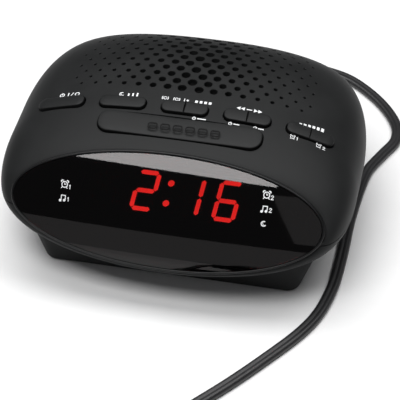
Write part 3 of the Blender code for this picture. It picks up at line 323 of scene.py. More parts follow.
def turned(name, profile, look=None, matrix=None, steps=48, closed=False, degrees=40):
    """A shape turned about Z from (radius, height) pairs."""
    matrix = matrix or Matrix.Identity(4)
    rings = [[matrix @ point for point in ring_at(max(radius, 0.02 * MM), height, steps)]
             for radius, height in profile]
    return lofted(name, rings, look, closed, degrees)


def block(name, low, high):
    """A box between two corners, as a cutter."""
    bm = bmesh.new()
    size = [b - a for a, b in zip(low, high)]
    middle = [(a + b) / 2 for a, b in zip(low, high)]
    bmesh.ops.create_cube(bm, size=1.0, matrix=Matrix.Translation(middle) @ Matrix.Diagonal((*size, 1)))
    return add(name, bm)


def carve(target, tools, operation="DIFFERENCE", degrees=40):
    """Cuts the tools out of target, or joins them to it, and removes them."""
    for tool in tools:
        cut = target.modifiers.new("cut", "BOOLEAN")
        cut.operation = operation
        cut.solver = "MANIFOLD"
        cut.object = tool
    result = target.evaluated_get(bpy.context.evaluated_depsgraph_get())
    mesh = bpy.data.meshes.new_from_object(result)
    target.modifiers.clear()
    bm = bmesh.new()
    bm.from_mesh(mesh)
    bmesh.ops.dissolve_degenerate(bm, dist=1e-6, edges=bm.edges)
    crease(bm, degrees)
    for face in bm.faces:
        face.material_index = 0
    bm.to_mesh(mesh)
    bm.free()
    look = target.data.materials[0]
    mesh.materials.clear()
    mesh.materials.append(look)
    target.data = mesh
    for tool in tools:
        bpy.data.objects.remove(tool)


def frame_on(normal):
    """Rotation whose Z is normal and whose X lies nearest to the world's."""
    up, across = normal.normalized(), Vector((1, 0, 0))
    side = (across - up * across.dot(up)).normalized()
    return Matrix((side, up.cross(side), up)).transposed()


def rounded(half_x, half_y, radius, count=8):
    """Points of a rounded rectangle, as (x, y)."""
    radius = min(radius, half_x, half_y)
    points = []
    for corner, (sx, sy) in enumerate(((1, 1), (-1, 1), (-1, -1), (1, -1))):
        for step in range(count):
            angle = math.pi / 2 * (corner + step / (count - 1))
            points.append((sx * (half_x - radius) + radius * math.cos(angle),
                           sy * (half_y - radius) + radius * math.sin(angle)))
    return points


def finish_piece(piece, body="case", replaces=()):
    """Puts a piece on the body it rides and hides the frame nodes it stands for."""
    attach(piece, body)
    if replaces:
        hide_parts(*replaces)
    return piece


# ---- the case's form -------------------------------------------------------
RING_POINTS = 176
RINGS_FRONT, RINGS_REAR = 40, 44


def ease(part, power):
    """Quarter of a squared-off circle: 0 at 0, 1 at 1, steep first and level last."""
    part = min(max(part, 0.0), 1.0)
    return (1 - (1 - part) ** power) ** (1 / power)


def close(part, power):
    """The same quarter run the other way: 1 at 0, falling steeply at the end."""
    part = min(max(part, 0.0), 1.0)
    return (1 - part ** power) ** (1 / power)


RIM_Y = -CASE_DEPTH / 2 + RIM_HALF_HEIGHT * math.sin(RIM_TILT) + BEZEL_PROUD * math.cos(RIM_TILT)
RIM_FORWARD = Vector((0, -math.cos(RIM_TILT), math.sin(RIM_TILT)))
RIM_UP = Vector((0, math.sin(RIM_TILT), math.cos(RIM_TILT)))
RIM_CENTRE = Vector((0, RIM_Y, RIM_Z))


def section(y, at):
    """Middle, tilt, half width, height up, height down and squareness of the section at y.

    The widths and heights are those of the form at another depth, at.
    """
    back = at - RIM_Y
    tilt = RIM_TILT * max(0.0, 1 - (y - RIM_Y) / TILT_RUN) ** 1.2
    middle_z = SEAM_Z + (RIM_Z - SEAM_Z) * max(0.0, 1 - (y - RIM_Y) / CREST_RUN) ** 2
    rim_top = RIM_Z + RIM_HALF_HEIGHT * math.cos(RIM_TILT)
    rim_low = RIM_Z - RIM_HALF_HEIGHT * math.cos(RIM_TILT)
    half_width = RIM_HALF_WIDTH + (CASE_WIDTH / 2 - RIM_HALF_WIDTH) * ease(back / FLARE_RUN, 2.2)
    top = rim_top + (TOP_Z - rim_top) * ease(back / CREST_RUN, 1.5)
    low = rim_low + (BELLY_Z - rim_low) * ease(back / BELLY_RUN, 2.0)
    corner, drop, rise = ((at - (REAR_Y - run)) / run * BACK_CUT
                          for run in (CORNER_RUN, REAR_DROP_RUN, REAR_RISE_RUN))
    half_width = BACK_HALF_WIDTH + (half_width - BACK_HALF_WIDTH) * close(corner, 2.2)
    top = BACK_TOP_Z + (top - BACK_TOP_Z) * close(drop, 2.4)
    low = BACK_LOW_Z + (low - BACK_LOW_Z) * close(rise, 2.4)
    middle_z = min(middle_z, (top + low) / 2 + 4 * MM)
    square = 2 + (SQUARENESS - 2) * ease((y - RIM_Y) / FLARE_RUN, 1.5)
    up, down = (height / math.cos(tilt) for height in (top - middle_z, middle_z - low))
    return middle_z, tilt, half_width, up, down, square


def oval(half_width, up, down, square=2.0, count=RING_POINTS):
    """Points of a squared-off oval, as (across, along)."""
    points = []
    for step in range(count):
        angle = 2 * math.pi * (step + 0.5) / count
        across = math.copysign(abs(math.cos(angle)) ** (2 / square), math.cos(angle))
        along = math.copysign(abs(math.sin(angle)) ** (2 / square), math.sin(angle))
        points.append((across * half_width, along * (up if along > 0 else down)))
    return points


def case_ring(y, inset=0.0):
    """The case's section whose middle is at y, drawn in by inset on every side."""
    turning = min(max(y / (10 * MM), -1.0), 1.0)
    middle_z, tilt, half_width, up, down, square = section(y, y + inset * turning)
    return [Vector((across, y + along * math.sin(tilt), middle_z + along * math.cos(tilt)))
            for across, along in oval(half_width - inset, up - inset, down - inset, square)]


def case_stations(rear):
    """Middle positions of the rings, closer together where the form turns faster."""
    bend = RIM_Y + (rear - RIM_Y) * 0.55
    front = [RIM_Y + (bend - RIM_Y) * (1 - math.cos(math.pi / 2 * i / RINGS_FRONT))
             for i in range(RINGS_FRONT)]
    return front + [bend + (rear - bend) * math.sin(math.pi / 2 * i / RINGS_REAR)
                    for i in range(RINGS_REAR + 1)]


def on_rim(across, along, height):
    """A point of the rim's own plane, raised in front of it."""
    return RIM_CENTRE + Vector((across, 0, 0)) + RIM_UP * along + RIM_FORWARD * height


def rim_shape(inset, count):
    """The rim's oval drawn in by inset, as (across, along)."""
    half_height = RIM_HALF_HEIGHT - inset
    return oval(RIM_HALF_WIDTH - inset, half_height, half_height, count=count)


def rim_oval(inset, height, count=RING_POINTS):
    """An oval parallel to the rim, inset from it and raised height in front of it."""
    return [on_rim(across, along, height) for across, along in rim_shape(inset, count)]


OUTER_RINGS = [case_ring(y) for y in case_stations(REAR_Y)]
INNER_RINGS = [rim_oval(RIM_LAND, WALL), rim_oval(RIM_LAND, -WALL / 4)]
INNER_RINGS += [case_ring(y, WALL) for y in case_stations(REAR_Y - WALL)[9::3]]


class Form:
    """The uncut outer face, for places, heights and soft normals on it."""

    def __init__(self, rings):
        count = len(rings[0])
        self.points = [point for points in rings for point in points]
        self.quads = [(r * count + i, r * count + (i + 1) % count,
                       (r + 1) * count + (i + 1) % count, (r + 1) * count + i)
                      for r in range(len(rings) - 1) for i in range(count)]
        mesh = bpy.data.meshes.new("form")
        mesh.from_pydata(self.points, [], self.quads)
        self.normals = [Vector(normal.vector) for normal in mesh.vertex_normals]
        bpy.data.meshes.remove(mesh)
        self.tree = BVHTree.FromPolygons(self.points, self.quads)
        top = max(range(len(self.points)), key=lambda i: self.points[i].z)
        self.sign = 1 if self.normals[top].z > 0 else -1

    def soft_normal(self, index, spot):
        corners = self.quads[index]
        weights = poly_3d_calc([self.points[i] for i in corners], spot)
        total = sum((self.normals[i] * w for i, w in zip(corners, weights)), Vector())
        return total.normalized() * self.sign

    def on_top(self, x, y):
        """Point on the top above (x, y) and the soft normal there."""
        spot, _, index, _ = self.tree.ray_cast(Vector((x, y, 2 * TOP_Z)), Vector((0, 0, -1)))
        return spot, self.soft_normal(index, spot)

    def soften(self, mesh):
        """Gives the faces of a cut mesh that lie on the form the form's own normals."""
        normals = [Vector()] * len(mesh.loops)
        for face in mesh.polygons:
            spot, _, index, _ = self.tree.find_nearest(face.center, 0.06 * MM)
            if spot is None or self.soft_normal(index, spot).dot(face.normal) < 0.9:
                continue
            for loop in face.loop_indices:
                near, _, at, _ = self.tree.find_nearest(mesh.vertices[mesh.loops[loop].vertex_index].co)
                normals[loop] = self.soft_normal(at, near)
        mesh.normals_split_custom_set(normals)


form = Form(OUTER_RINGS)


def on_key(x, y, height):
    """A point this high above the top cover's face."""
    spot, normal = form.on_top(x, y)
    return spot + normal * height


# ---- keys ------------------------------------------------------------------
def key_rings(spot, size, layers):
    """Rings of a rounded bar that follows the top cover, from (inset, height) layers."""
    length, width, radius, bow = size
    rings = []
    for inset, height in layers:
        ring = []
        for x, y in rounded(length / 2 - inset, width / 2 - inset, max(radius - inset, 0.4 * MM), 9):
            forward = bow * (1 - (2 * x / length) ** 2)
            ring.append(on_key(spot[0] + x, spot[1] + y - forward, height))
        rings.append(ring)
    return rings


def key_layers():
    """Side wall, rounded upper edge and a slightly crowned face."""
    layers = [(0, KEY_LOOK_LOW), (0, KEY_PROUD - KEY_EDGE)] + edge_round(KEY_EDGE, KEY_PROUD, 5)
    last = CROWN_INSETS[-1]
    return layers + [(inset, KEY_PROUD + KEY_CROWN * inset / last) for inset in CROWN_INSETS]


def key_slot(spot, size):
    """Cutter for a key's slot, a little wider at the cover's face."""
    mouth = -GAP - SLOT_FLARE
    layers = [(-GAP, -WALL - 1.5 * MM), (-GAP, -SLOT_FLARE), (mouth, 0.0), (mouth, 3 * MM)]
    return lofted("key_slot", key_rings(spot, size, layers))


SMALL_KEY = (KEY_LENGTH, KEY_WIDTH, KEY_RADIUS, 0.0)
LONG_KEY = (SNOOZE_LENGTH, SNOOZE_WIDTH, SNOOZE_RADIUS, SNOOZE_BOW)
KEYS = (  # name, body, middle, (length, width, corner radius, bow), is it a rocker
    ("power_key", "power_button", (-2 * KEY_PITCH, KEY_Y), SMALL_KEY, False),
    ("sleep_key", "sleep_button", (-KEY_PITCH, KEY_Y), SMALL_KEY, False),
    ("band_rocker", "band_switch", (0.0, KEY_Y), SMALL_KEY, True),
    ("tuning_rocker", "tuning_switch", (KEY_PITCH, KEY_Y), SMALL_KEY, True),
    ("volume_rocker", "volume_switch", (2 * KEY_PITCH, KEY_Y), SMALL_KEY, True),
    ("snooze_key", "snooze_button", (0.0, SNOOZE_Y), LONG_KEY, False),
)


def rocker_groove(x, y):
    """Cutter for the narrow groove across a rocker's middle."""
    low, high = KEY_PROUD - GROOVE_DEEP, KEY_PROUD + GROOVE_OVER
    outline = ((0.02 * MM, low), (0.5 * MM, high), (-0.5 * MM, high), (-0.02 * MM, low))
    rings = [[on_key(x + across, y + share * GROOVE_REACH, height) for across, height in outline]
             for share in (-1, -0.5, 0, 0.5, 1)]
    return lofted("groove", rings)


def paint_wall_shade(key, centre):
    """Gives a key's upright walls a near-black material, painted shade for the shadow that falls on them."""
    _, up = form.on_top(*centre)
    key.data.materials.append(KEY_PAINTED_SHADE)
    for face in key.data.polygons:
        face.material_index = 1 if face.normal.dot(up) < UPRIGHT_LIMIT else 0


def build_keys():
    """Five short keys in a row, three of them rockers, and the long snooze key."""
    for name, body, spot, size, rocker in KEYS:
        key = lofted(name + "_look", key_rings(spot, size, key_layers()), KEY)
        if rocker:
            carve(key, [rocker_groove(*spot)], degrees=30)
        paint_wall_shade(key, spot)
        finish_piece(key, body, (name,))


# ---- shells ----------------------------------------------------------------
def grille_cutter():
    """Round holes in staggered rows, largest in the middle, with softened mouths."""
    bm = bmesh.new()
    reach = GRILLE_HALF_COLUMNS * HOLE_PITCH_X + HOLE_CENTRE_STEP
    taper = GRILLE_TAPER_ROWS * HOLE_PITCH_Y
    flare = HOLE_FLARE
    for row in range(GRILLE_ROWS):
        y = GRILLE_FRONT_Y + row * HOLE_PITCH_Y
        tail = max(0.0, y - (GRILLE_FRONT_Y + taper)) / taper
        row_reach = reach * math.sqrt(max(0.0, 1 - 0.75 * tail ** 2))
        for i in range(-GRILLE_HALF_COLUMNS, GRILLE_HALF_COLUMNS + 1):
            column = i + 0.5 * ((row + 1) % 2)
            x = column * HOLE_PITCH_X + math.copysign(HOLE_CENTRE_STEP, column) * (column != 0)
            if abs(x) > row_reach:
                continue
            share = min(abs(x) / reach, 1)
            radius = (HOLE_SMALL + (HOLE_BIG - HOLE_SMALL) * (1 - share) ** HOLE_FALLOFF) / 2
            spot, normal = form.on_top(x, y)
            matrix = Matrix.Translation(spot) @ frame_on(normal).to_4x4()
            steps = 28 if radius > MM else 20
            profile = ((radius, -2.4 * WALL), (radius, -flare), (radius + flare, 0),
                       (radius + 1.6 * flare, 3 * flare))
            skin(bm, [[matrix @ point for point in ring_at(r, z, steps)] for r, z in profile])
    return add("grille_cutter", bm)


def foot_ring(z, inset=0.0):
    """Rounded rectangle of the foot at height z."""
    rise = (z - PAD_PROUD) / (FOOT_TOP_Z - PAD_PROUD)
    half_width = FOOT_HALF_WIDTH + FOOT_FLARE * rise - inset
    middle = (FOOT_FRONT_Y + FOOT_BACK_Y) / 2
    half_depth = (FOOT_BACK_Y - FOOT_FRONT_Y) / 2 - inset
    return [Vector((x, middle + y, z)) for x, y in rounded(half_width, half_depth, FOOT_RADIUS - inset, 10)]


def build_top_cover():
    """The upper shell, with the keys' slots and the grille's holes cut through it."""
    cover = lofted("top_cover_shell", OUTER_RINGS, CASE)
    big = CASE_WIDTH
    tools = [lofted("hollow", INNER_RINGS),
             block("below", (-big, -big, -big), (big, big, SEAM_Z + SEAM_GAP / 2))]
    tools += [key_slot(spot, size) for _, _, spot, size, _ in KEYS]
    tools.append(grille_cutter())
    carve(cover, tools, degrees=35)
    form.soften(cover.data)
    finish_piece(cover, "case", ("top_cover",))


def pad_spots():
    """Middles of the four rubber feet."""
    x = FOOT_HALF_WIDTH - PAD_INSET
    return [(side * x, y) for y in (FOOT_FRONT_Y + PAD_INSET, FOOT_BACK_Y - PAD_INSET) for side in (-1, 1)]


def screw_spots():
    """Middles of the four case screws."""
    return [(side * x, y) for x, y in SCREW_SPOTS for side in (-1, 1)]


def rod(name, x, y, low, high, radius):
    """An upright round cutter."""
    return turned(name, ((radius, low), (radius, high)), None, placed((x, y, 0)), 40)


def build_bottom_case():
    """The lower shell with its foot, cell bay, screw sinks, pad recesses and rear holes."""
    case = lofted("bottom_case_shell", OUTER_RINGS, CASE)
    levels = [(0.0, -FOOT_EDGE)] + edge_round(FOOT_EDGE, 0.0, 3)
    rings = [foot_ring(PAD_PROUD + rise, -inset) for rise, inset in levels] + [foot_ring(FOOT_TOP_Z)]
    carve(case, [lofted("foot", rings)], "UNION")
    carve(case, [lofted("hollow", INNER_RINGS),
                 lofted("foot_hollow", [foot_ring(z, WALL) for z in (PAD_PROUD + WALL, FOOT_TOP_Z + MM)])])
    half = BAY_LENGTH / 2
    carve(case, [block("bay_outside", (-half - BAY_WALL, BAY_FRONT - BAY_WALL, PAD_PROUD + 0.1 * MM),
                       (half + BAY_WALL, BAY_REAR + BAY_WALL, BAY_TOP_Z + BAY_WALL))], "UNION")
    big = CASE_WIDTH
    tools = [block("above", (-big, -big, SEAM_Z - SEAM_GAP / 2), (big, big, big)),
             block("bay", (-half, BAY_FRONT, -MM), (half, BAY_REAR, BAY_TOP_Z)),
             block("notch", (-7 * MM, BAY_REAR - MM, -MM),
                   (7 * MM, BAY_REAR + 2.6 * MM, PAD_PROUD + 0.9 * MM))]
    tools += [rod("sink", x, y, -MM, SCREW_SINK_Z, SCREW_SINK_RADIUS) for x, y in screw_spots()]
    tools += [rod("recess", x, y, -MM, PAD_HEIGHT + GAP, PAD_RADIUS + GAP) for x, y in pad_spots()]
    for x, z, r in ((LEAD_EXIT_X, LEAD_EXIT_Z, RELIEF_RADIUS), (JACK_X, JACK_Z, JACK_RADIUS)):
        profile = ((r + GAP, -2 * MM), (r + GAP, 4 * WALL))
        tools.append(turned("hole", profile, None, placed((x, REAR_Y, z), 90)))
    carve(case, tools, degrees=35)
    form.soften(case.data)
    finish_piece(case, "case", ("bottom_case",))


def case_outline(z, inset):
    """The case's outline at height z, drawn in by inset, from the front round to the front."""
    points = []
    for ring in OUTER_RINGS[2:]:
        half = len(ring) // 2
        side = min(ring[:half // 2] + ring[-half // 2:], key=lambda point: abs(point.z - z))
        points.append((side.x - inset, side.y - (inset if side.y > REAR_Y - 5 * MM else 0)))
    return points + [(-x, y) for x, y in reversed(points)]


def build_seam_tongue():
    """The lip inside the seam that shuts the light out of it."""
    rings = []
    for inset, z in ((0.9, -1.2), (0.9, 1.2), (1.9, 1.2), (1.9, -1.2)):
        outline = case_outline(SEAM_Z, inset * MM)
        rings.append([Vector((x, y, SEAM_Z + z * MM)) for x, y in outline])
    tongue = lofted("seam_tongue", rings, CASE, closed=True)
    finish_piece(tongue, "case")


# ---- front -----------------------------------------------------------------
def build_front():
    """The round-edged bezel ring and the domed window seated in it."""
    edge, inner = BEZEL_EDGE, BEZEL_EDGE * 0.7
    ledge = GAP + BEZEL_LEDGE
    profile = [(0.0, GAP), (0.0, BEZEL_PROUD - edge)] + edge_round(edge, BEZEL_PROUD, 6)
    for step in range(1, 6):
        angle = math.pi / 2 * step / 5
        profile.append((BEZEL_LAND - inner * math.cos(angle), BEZEL_PROUD - inner * (1 - math.cos(angle))))
    profile += [(BEZEL_LAND, ledge), (BEZEL_REACH, ledge), (BEZEL_REACH, GAP)]
    rings = [rim_oval(inset, height, FRONT_POINTS) for inset, height in profile]
    bezel = lofted("bezel_ring", rings, BEZEL, closed=True, degrees=50)
    finish_piece(bezel, "case", ("front_bezel",))

    shares = [math.sin(math.pi / 2 * i / 26) for i in range(1, 27)]
    rings = [lens_ring(share, 0.0) for share in shares]
    rings += [lens_ring(1.0, WINDOW_THICK * 0.45)]
    rings += [lens_ring(share, WINDOW_THICK) for share in reversed(shares)]
    lens = lofted("display_lens", rings, LENS, degrees=60)
    finish_piece(lens, "case", ("display_window",))


def on_lens(across, along, lift=0.0):
    """A point on the lens's front face, lifted off it."""
    half_across, half_along = RIM_HALF_WIDTH - LENS_INSET, RIM_HALF_HEIGHT - LENS_INSET
    share = (across / half_across) ** 2 + (along / half_along) ** 2
    return on_rim(across, along, LENS_SEAT + WINDOW_DOME * (1 - share) + WINDOW_THICK + lift)


def lens_ring(share, lift):
    """An oval on the lens at this share of its size, lifted off its rear face."""
    return [on_lens(across * share, along * share, lift - WINDOW_THICK)
            for across, along in rim_shape(LENS_INSET, FRONT_POINTS)]


# ---- display ---------------------------------------------------------------
DIGIT_HEIGHT, DIGIT_WIDTH = 13.4 * MM, 7.1 * MM  # between the middles of the outer bars
DIGIT_SLANT = math.tan(math.radians(8.8))
DIGIT_LOW = -0.5 * MM  # the lowest bars' middle, up the rim's plane
DIGIT_LEFTS = (-27.2 * MM, -13.6 * MM, 3.0 * MM, 16.6 * MM)
BAR_HALF, BAR_HEIGHT = 0.78 * MM, 0.35 * MM
COLON_X, COLON_RADIUS, COLON_SPOTS = -1.5 * MM, 1.15 * MM, (2.6 * MM, 10.0 * MM)
SEGMENTS = {  # each bar's ends, in digit widths and half heights
    "a": ((0, 2), (1, 2)), "b": ((1, 2), (1, 1)), "c": ((1, 1), (1, 0)), "d": ((0, 0), (1, 0)),
    "e": ((0, 1), (0, 0)), "f": ((0, 2), (0, 1)), "g": ((0, 1), (1, 1)),
}
LIT_BARS = ("", "abged", "bc", "acdefg")


def bar_shape(start, end):
    """Six-sided bar with pointed ends, as (across, along) points."""
    start, end = Vector(start), Vector(end)
    way = (end - start).normalized()
    side = Vector((-way.y, way.x)) * BAR_HALF
    start, end = start + way * BAR_HALF * 1.1, end - way * BAR_HALF * 1.1
    tip = way * BAR_HALF * 0.8
    return [start - tip, start - side, end - side, end + tip, end + side, start + side]


def add_bar(bm, outline):
    """A slanted bar standing off the display's face, its upper edge drawn in."""
    outline = [Vector(point) for point in outline]
    middle = sum(outline, Vector((0, 0))) / len(outline)
    rings = []
    for inset, level in ((0, 0.05 * MM), (0, BAR_HEIGHT * 0.7), (0.12 * MM, BAR_HEIGHT)):
        points = [point + (middle - point).normalized() * inset for point in outline]
        rings.append([on_rim(p.x + (p.y - DIGIT_LOW) * DIGIT_SLANT, p.y, level - DISPLAY_BACK)
                      for p in points])
    skin(bm, rings)


def build_digits():
    """Bars of four digits and the colon's dots, lit and unlit."""
    lit, dark = bmesh.new(), bmesh.new()
    for left, lit_bars in zip(DIGIT_LEFTS, LIT_BARS):
        for letter, ends in SEGMENTS.items():
            points = [(left + u * DIGIT_WIDTH, DIGIT_LOW + v * DIGIT_HEIGHT / 2) for u, v in ends]
            add_bar(lit if letter in lit_bars else dark, bar_shape(*points))
    for along in COLON_SPOTS:
        add_bar(lit, circle(COLON_RADIUS, 24, (COLON_X, along)))
    finish_piece(add("lit_digits", lit, LIT), "case")
    finish_piece(add("unlit_digits", dark, UNLIT), "case")


# ---- printed marks ---------------------------------------------------------
def stroke(points, width):
    """A line of this width along the points, as a list of quads."""
    quads = []
    for start, end in zip(points, points[1:]):
        start, end = Vector(start), Vector(end)
        way = (end - start).normalized()
        side = Vector((-way.y, way.x)) * width / 2
        reach = way * width / 2
        quads.append([start - reach - side, end + reach - side, end + reach + side, start - reach + side])
    return quads


def arc(centre, radius, start, end, width, steps=20):
    """A curved line from one angle to another, in degrees."""
    quads = []
    for i in range(steps):
        a, b = (math.radians(start + (end - start) * k / steps) for k in (i, i + 1))
        quads.append([Vector((centre[0] + r * math.cos(t), centre[1] + r * math.sin(t)))
                      for r, t in ((radius - width / 2, a), (radius + width / 2, a),
                                   (radius + width / 2, b), (radius - width / 2, b))])
    return quads


def disc(centre, radius):
    return [[Vector(point) for point in circle(radius, 20, centre)]]


def box(x0, y0, x1, y1):
    return [Vector((x0, y0)), Vector((x1, y0)), Vector((x1, y1)), Vector((x0, y1))]


def moved(shapes, dx, dy, scale=1.0):
    """Shapes scaled about their own middle and shifted."""
    return [[Vector((p.x * scale + dx, p.y * scale + dy)) for p in shape] for shape in shapes]


def numeral(value):
    if value == 1:
        return stroke([(-0.3, 0.45), (0, 0.75), (0, -0.75)], 0.28)
    return stroke([(-0.45, 0.45), (-0.2, 0.75), (0.2, 0.75), (0.45, 0.4), (-0.45, -0.75), (0.5, -0.75)], 0.28)


def alarm_icon():
    """An alarm clock with two bells and two feet."""
    shapes = arc((0, 0), 1.15, 0, 360, 0.34, 28) + stroke([(0, 0.6), (0, 0), (0.45, 0.1)], 0.26)
    shapes += arc((-1.05, 1.15), 0.42, 40, 230, 0.4, 10) + arc((1.05, 1.15), 0.42, -50, 140, 0.4, 10)
    for side in (-1, 1):
        shapes += stroke([(side * 0.85, -1.05), (side * 1.15, -1.45)], 0.3)
    return shapes


def clock_icon(hands, width):
    """A small clock face with these hands."""
    return arc((0, 0), 0.6, 0, 360, 0.24, 24) + stroke(hands, width)


def note_icon():
    shapes = stroke([(-0.75, -0.9), (-0.75, 1.1), (0.85, 1.1), (0.85, -0.7)], 0.32)
    return shapes + disc((-1.1, -0.95), 0.5) + disc((0.5, -0.75), 0.5)


def moon_icon():
    return arc((0, 0), 1.0, 60, 330, 0.45, 20) + arc((0.55, 0.25), 0.95, 110, 285, 0.22, 16)


def triangle(x, size=0.85):
    """An arrowhead at x that points away from the middle."""
    way = math.copysign(size, x)
    return [[Vector((x + way, 0)), Vector((x - way * 0.7, size)), Vector((x - way * 0.7, -size))]]


def printed(name, shapes, place, look=INK, body="case", lift=0.03 * MM, thick=0.05 * MM):
    """Ink laid on a surface. place(u, v, height) maps millimetres on it to a point."""
    bm = bmesh.new()
    for index, shape in enumerate(shapes):
        apart = index % 3 * INK_STEP
        low, high = ([bm.verts.new(place(p.x, p.y, height + apart)) for p in shape]
                     for height in (lift, lift + thick))
        bm.faces.new(low)
        bm.faces.new(high)
        for i in range(len(shape)):
            j = (i + 1) % len(shape)
            bm.faces.new((low[i], low[j], high[j], high[i]))
    piece = add(name, bm, look)
    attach(piece, body)
    return piece


def build_marks():
    """Marks printed over and under the keys, marks on the window, and the snooze key's bumps."""
    def at(x0, y0):
        return lambda u, v, height: on_key(x0 + u * MM, y0 + v * MM, height)

    above, below = KEY_Y + KEY_WIDTH / 2 + 1.5 * MM, KEY_Y - KEY_WIDTH / 2 - 1.2 * MM
    power = arc((-2.6, 0), 0.8, 115, 425, 0.36) + stroke([(-2.6, 0.1), (-2.6, 1.0)], 0.36)
    power += stroke([(-0.2, -0.75), (-0.2, 0.75)], 0.4) + stroke([(0.9, -0.75), (1.6, 0.75)], 0.34)
    power += arc((3.2, 0), 0.75, 0, 360, 0.36)
    printed("mark_power", power, at(-2 * KEY_PITCH + 1.5 * MM, above))
    sleep = moved(moon_icon(), -2.4, 0, 0.8)
    for i in range(3):
        sleep += stroke([(0.2 + 1.6 * i, -0.6), (0.2 + 1.6 * i, 0.2 + 0.3 * i)], 0.6)
    printed("mark_sleep", sleep, at(-KEY_PITCH + MM, above))

    waves = []
    for centre in (-8.6, -4.3):
        waves += arc((centre, 0), 0.6, 20, 340, 0.28, 14) + arc((centre, 0), 1.15, -40, 40, 0.28, 8)
        waves += arc((centre, 0), 1.15, 140, 220, 0.28, 8)
    waves += stroke([(-1.4, -0.6), (-1.4, 0.6)], 0.3) + disc((-0.2, 0), 0.42)
    waves += [box(2.6 + 1.7 * i, -0.6, 3.6 + 1.7 * i, 0.55) for i in range(4)]
    printed("mark_band", waves, at(0.4 * MM, above))
    dots = stroke([(1.4, 0), (4.2, 0)], 0.45)
    printed("mark_time", clock_icon([(0, 0.35), (0, 0), (0.3, 0)], 0.18) + dots, at(4.2 * MM, below))

    tuning = [shape for x in (-3.9, -2.3, 2.3, 3.9) for shape in triangle(x)]
    tuning += stroke([(-0.8, 0), (0.8, 0)], 0.42)
    printed("mark_tuning", tuning, at(KEY_PITCH, above))
    row = moved(clock_icon([(0, 0), (0, 0.4)], 0.2), -5.6, 0) + stroke([(-4.2, 0), (-2.4, 0)], 0.42)
    row += moved(clock_icon([(0, 0), (0.4, 0)], 0.2), 3.6, 0) + stroke([(4.9, 0), (6.6, 0)], 0.42)
    printed("mark_set", row, at(KEY_PITCH, below))

    volume = [box(-4.5 + 1.6 * i, -0.8, -3.5 + 1.6 * i, -0.3 + 0.26 * i) for i in range(6)]
    printed("mark_volume", volume, at(2 * KEY_PITCH, above))
    alarms = moved(alarm_icon(), -5.8, 0, 0.62) + moved(numeral(1), -4.0, -0.2, 0.8)
    alarms += moved(alarm_icon(), 3.8, 0, 0.62) + moved(numeral(2), 5.8, -0.2, 0.8)
    printed("mark_alarms", alarms, at(2 * KEY_PITCH, below))

    def glass(x0, y0):
        return lambda u, v, height: on_lens(x0 + u * MM, y0 + v * MM, height)

    for side, x, top in ((1, -37.6, 5.3), (2, 35.6, 11.0)):
        icons = moved(alarm_icon(), 0, 0, 0.92) + moved(numeral(side), 2.1, -0.7, 0.9)
        icons += moved(note_icon(), 0, -5.0, 0.95) + moved(numeral(side), 2.0, -5.2, 0.9)
        if side == 2:
            icons += moved(moon_icon(), 0.2, -10.2, 0.85)
        printed(f"mark_lens_{side}", icons, glass(x * MM, top * MM))

    def crown(u, v, height):
        return on_key((2 + u) * MM, SNOOZE_Y - SNOOZE_BOW + v * 1.15 * MM, KEY_PROUD + 0.1 * MM + height)

    bumps = []
    for i in range(6):
        outline = [Vector((x, y)) for x, y in rounded(1.55, 1.0, 0.7, 6)]
        outline.append(outline[0])
        bumps += moved(stroke(outline, 0.42), -11.6 + 4.6 * i, 0)
    # The bumps take the keys' near-black material, so their outlines show as painted shade.
    emboss = printed("snooze_bumps", bumps, crown, KEY_PAINTED_SHADE, "snooze_button", 0.0, 0.16 * MM)


# ---- underside and back ----------------------------------------------------
def build_feet():
    """Four rubber pads with a hollow under each."""
    for number, (x, y) in enumerate(pad_spots(), 1):
        r, h = PAD_RADIUS, PAD_HEIGHT
        profile = ((0.0, h), (r, h), (r, 0.35 * MM), (r - 0.1 * MM, 0.12 * MM), (r - 0.35 * MM, 0.0),
                   (r - 1.0 * MM, 0.0), (r - 1.4 * MM, 0.25 * MM), (0.0, 0.35 * MM))
        pad = turned(f"foot_pad_{number}", profile, RUBBER, placed((x, y, 0)), 40)
        finish_piece(pad, "case", (f"rubber_foot_{number}",))


def build_screw_recess_shades():
    """A dark cross laid on each case screw's head, painted shade standing in for its cross recess."""
    face = PAD_PROUD + SCREW_SUNK
    reach, half = CROSS_REACH, CROSS_HALF
    outline = ((half, reach), (-half, reach), (-half, half), (-reach, half), (-reach, -half), (-half, -half),
               (-half, -reach), (half, -reach), (half, -half), (reach, -half), (reach, half), (half, half))
    for number, (x, y) in enumerate(screw_spots(), 1):
        rings = [[Vector((x + a, y + b, z)) for a, b in outline] for z in (face - 0.03 * MM, face + 0.2 * MM)]
        slot = lofted(f"screw_recess_shade_{number}", rings, COMPONENT, degrees=20)
        finish_piece(slot, "case")


def build_door():
    """The cell door, with an arrow of grip grooves near its catch."""
    half_x, half_y = BAY_LENGTH / 2 - DOOR_GAP, (BAY_REAR - BAY_FRONT) / 2 - DOOR_GAP
    middle = (BAY_REAR + BAY_FRONT) / 2
    rings = []
    for inset, z in ((DOOR_EDGE, PAD_PROUD), (0, PAD_PROUD + DOOR_EDGE), (0, PAD_PROUD + DOOR_THICK)):
        outline = rounded(half_x - inset, half_y - inset, 1.2 * MM)
        rings.append([Vector((x, middle + y, z)) for x, y in outline])
    door = lofted("battery_door_look", rings, CASE)
    tools = []
    for i in range(5):
        x, y = (6 - 0.9 * i) * MM, BAY_REAR - (7.0 - 1.1 * i) * MM
        tools.append(block("rib", (-x, y, -MM), (x, y + 0.5 * MM, PAD_PROUD + 0.35 * MM)))
    carve(door, tools)
    finish_piece(door, "battery_cover", ("battery_door",))


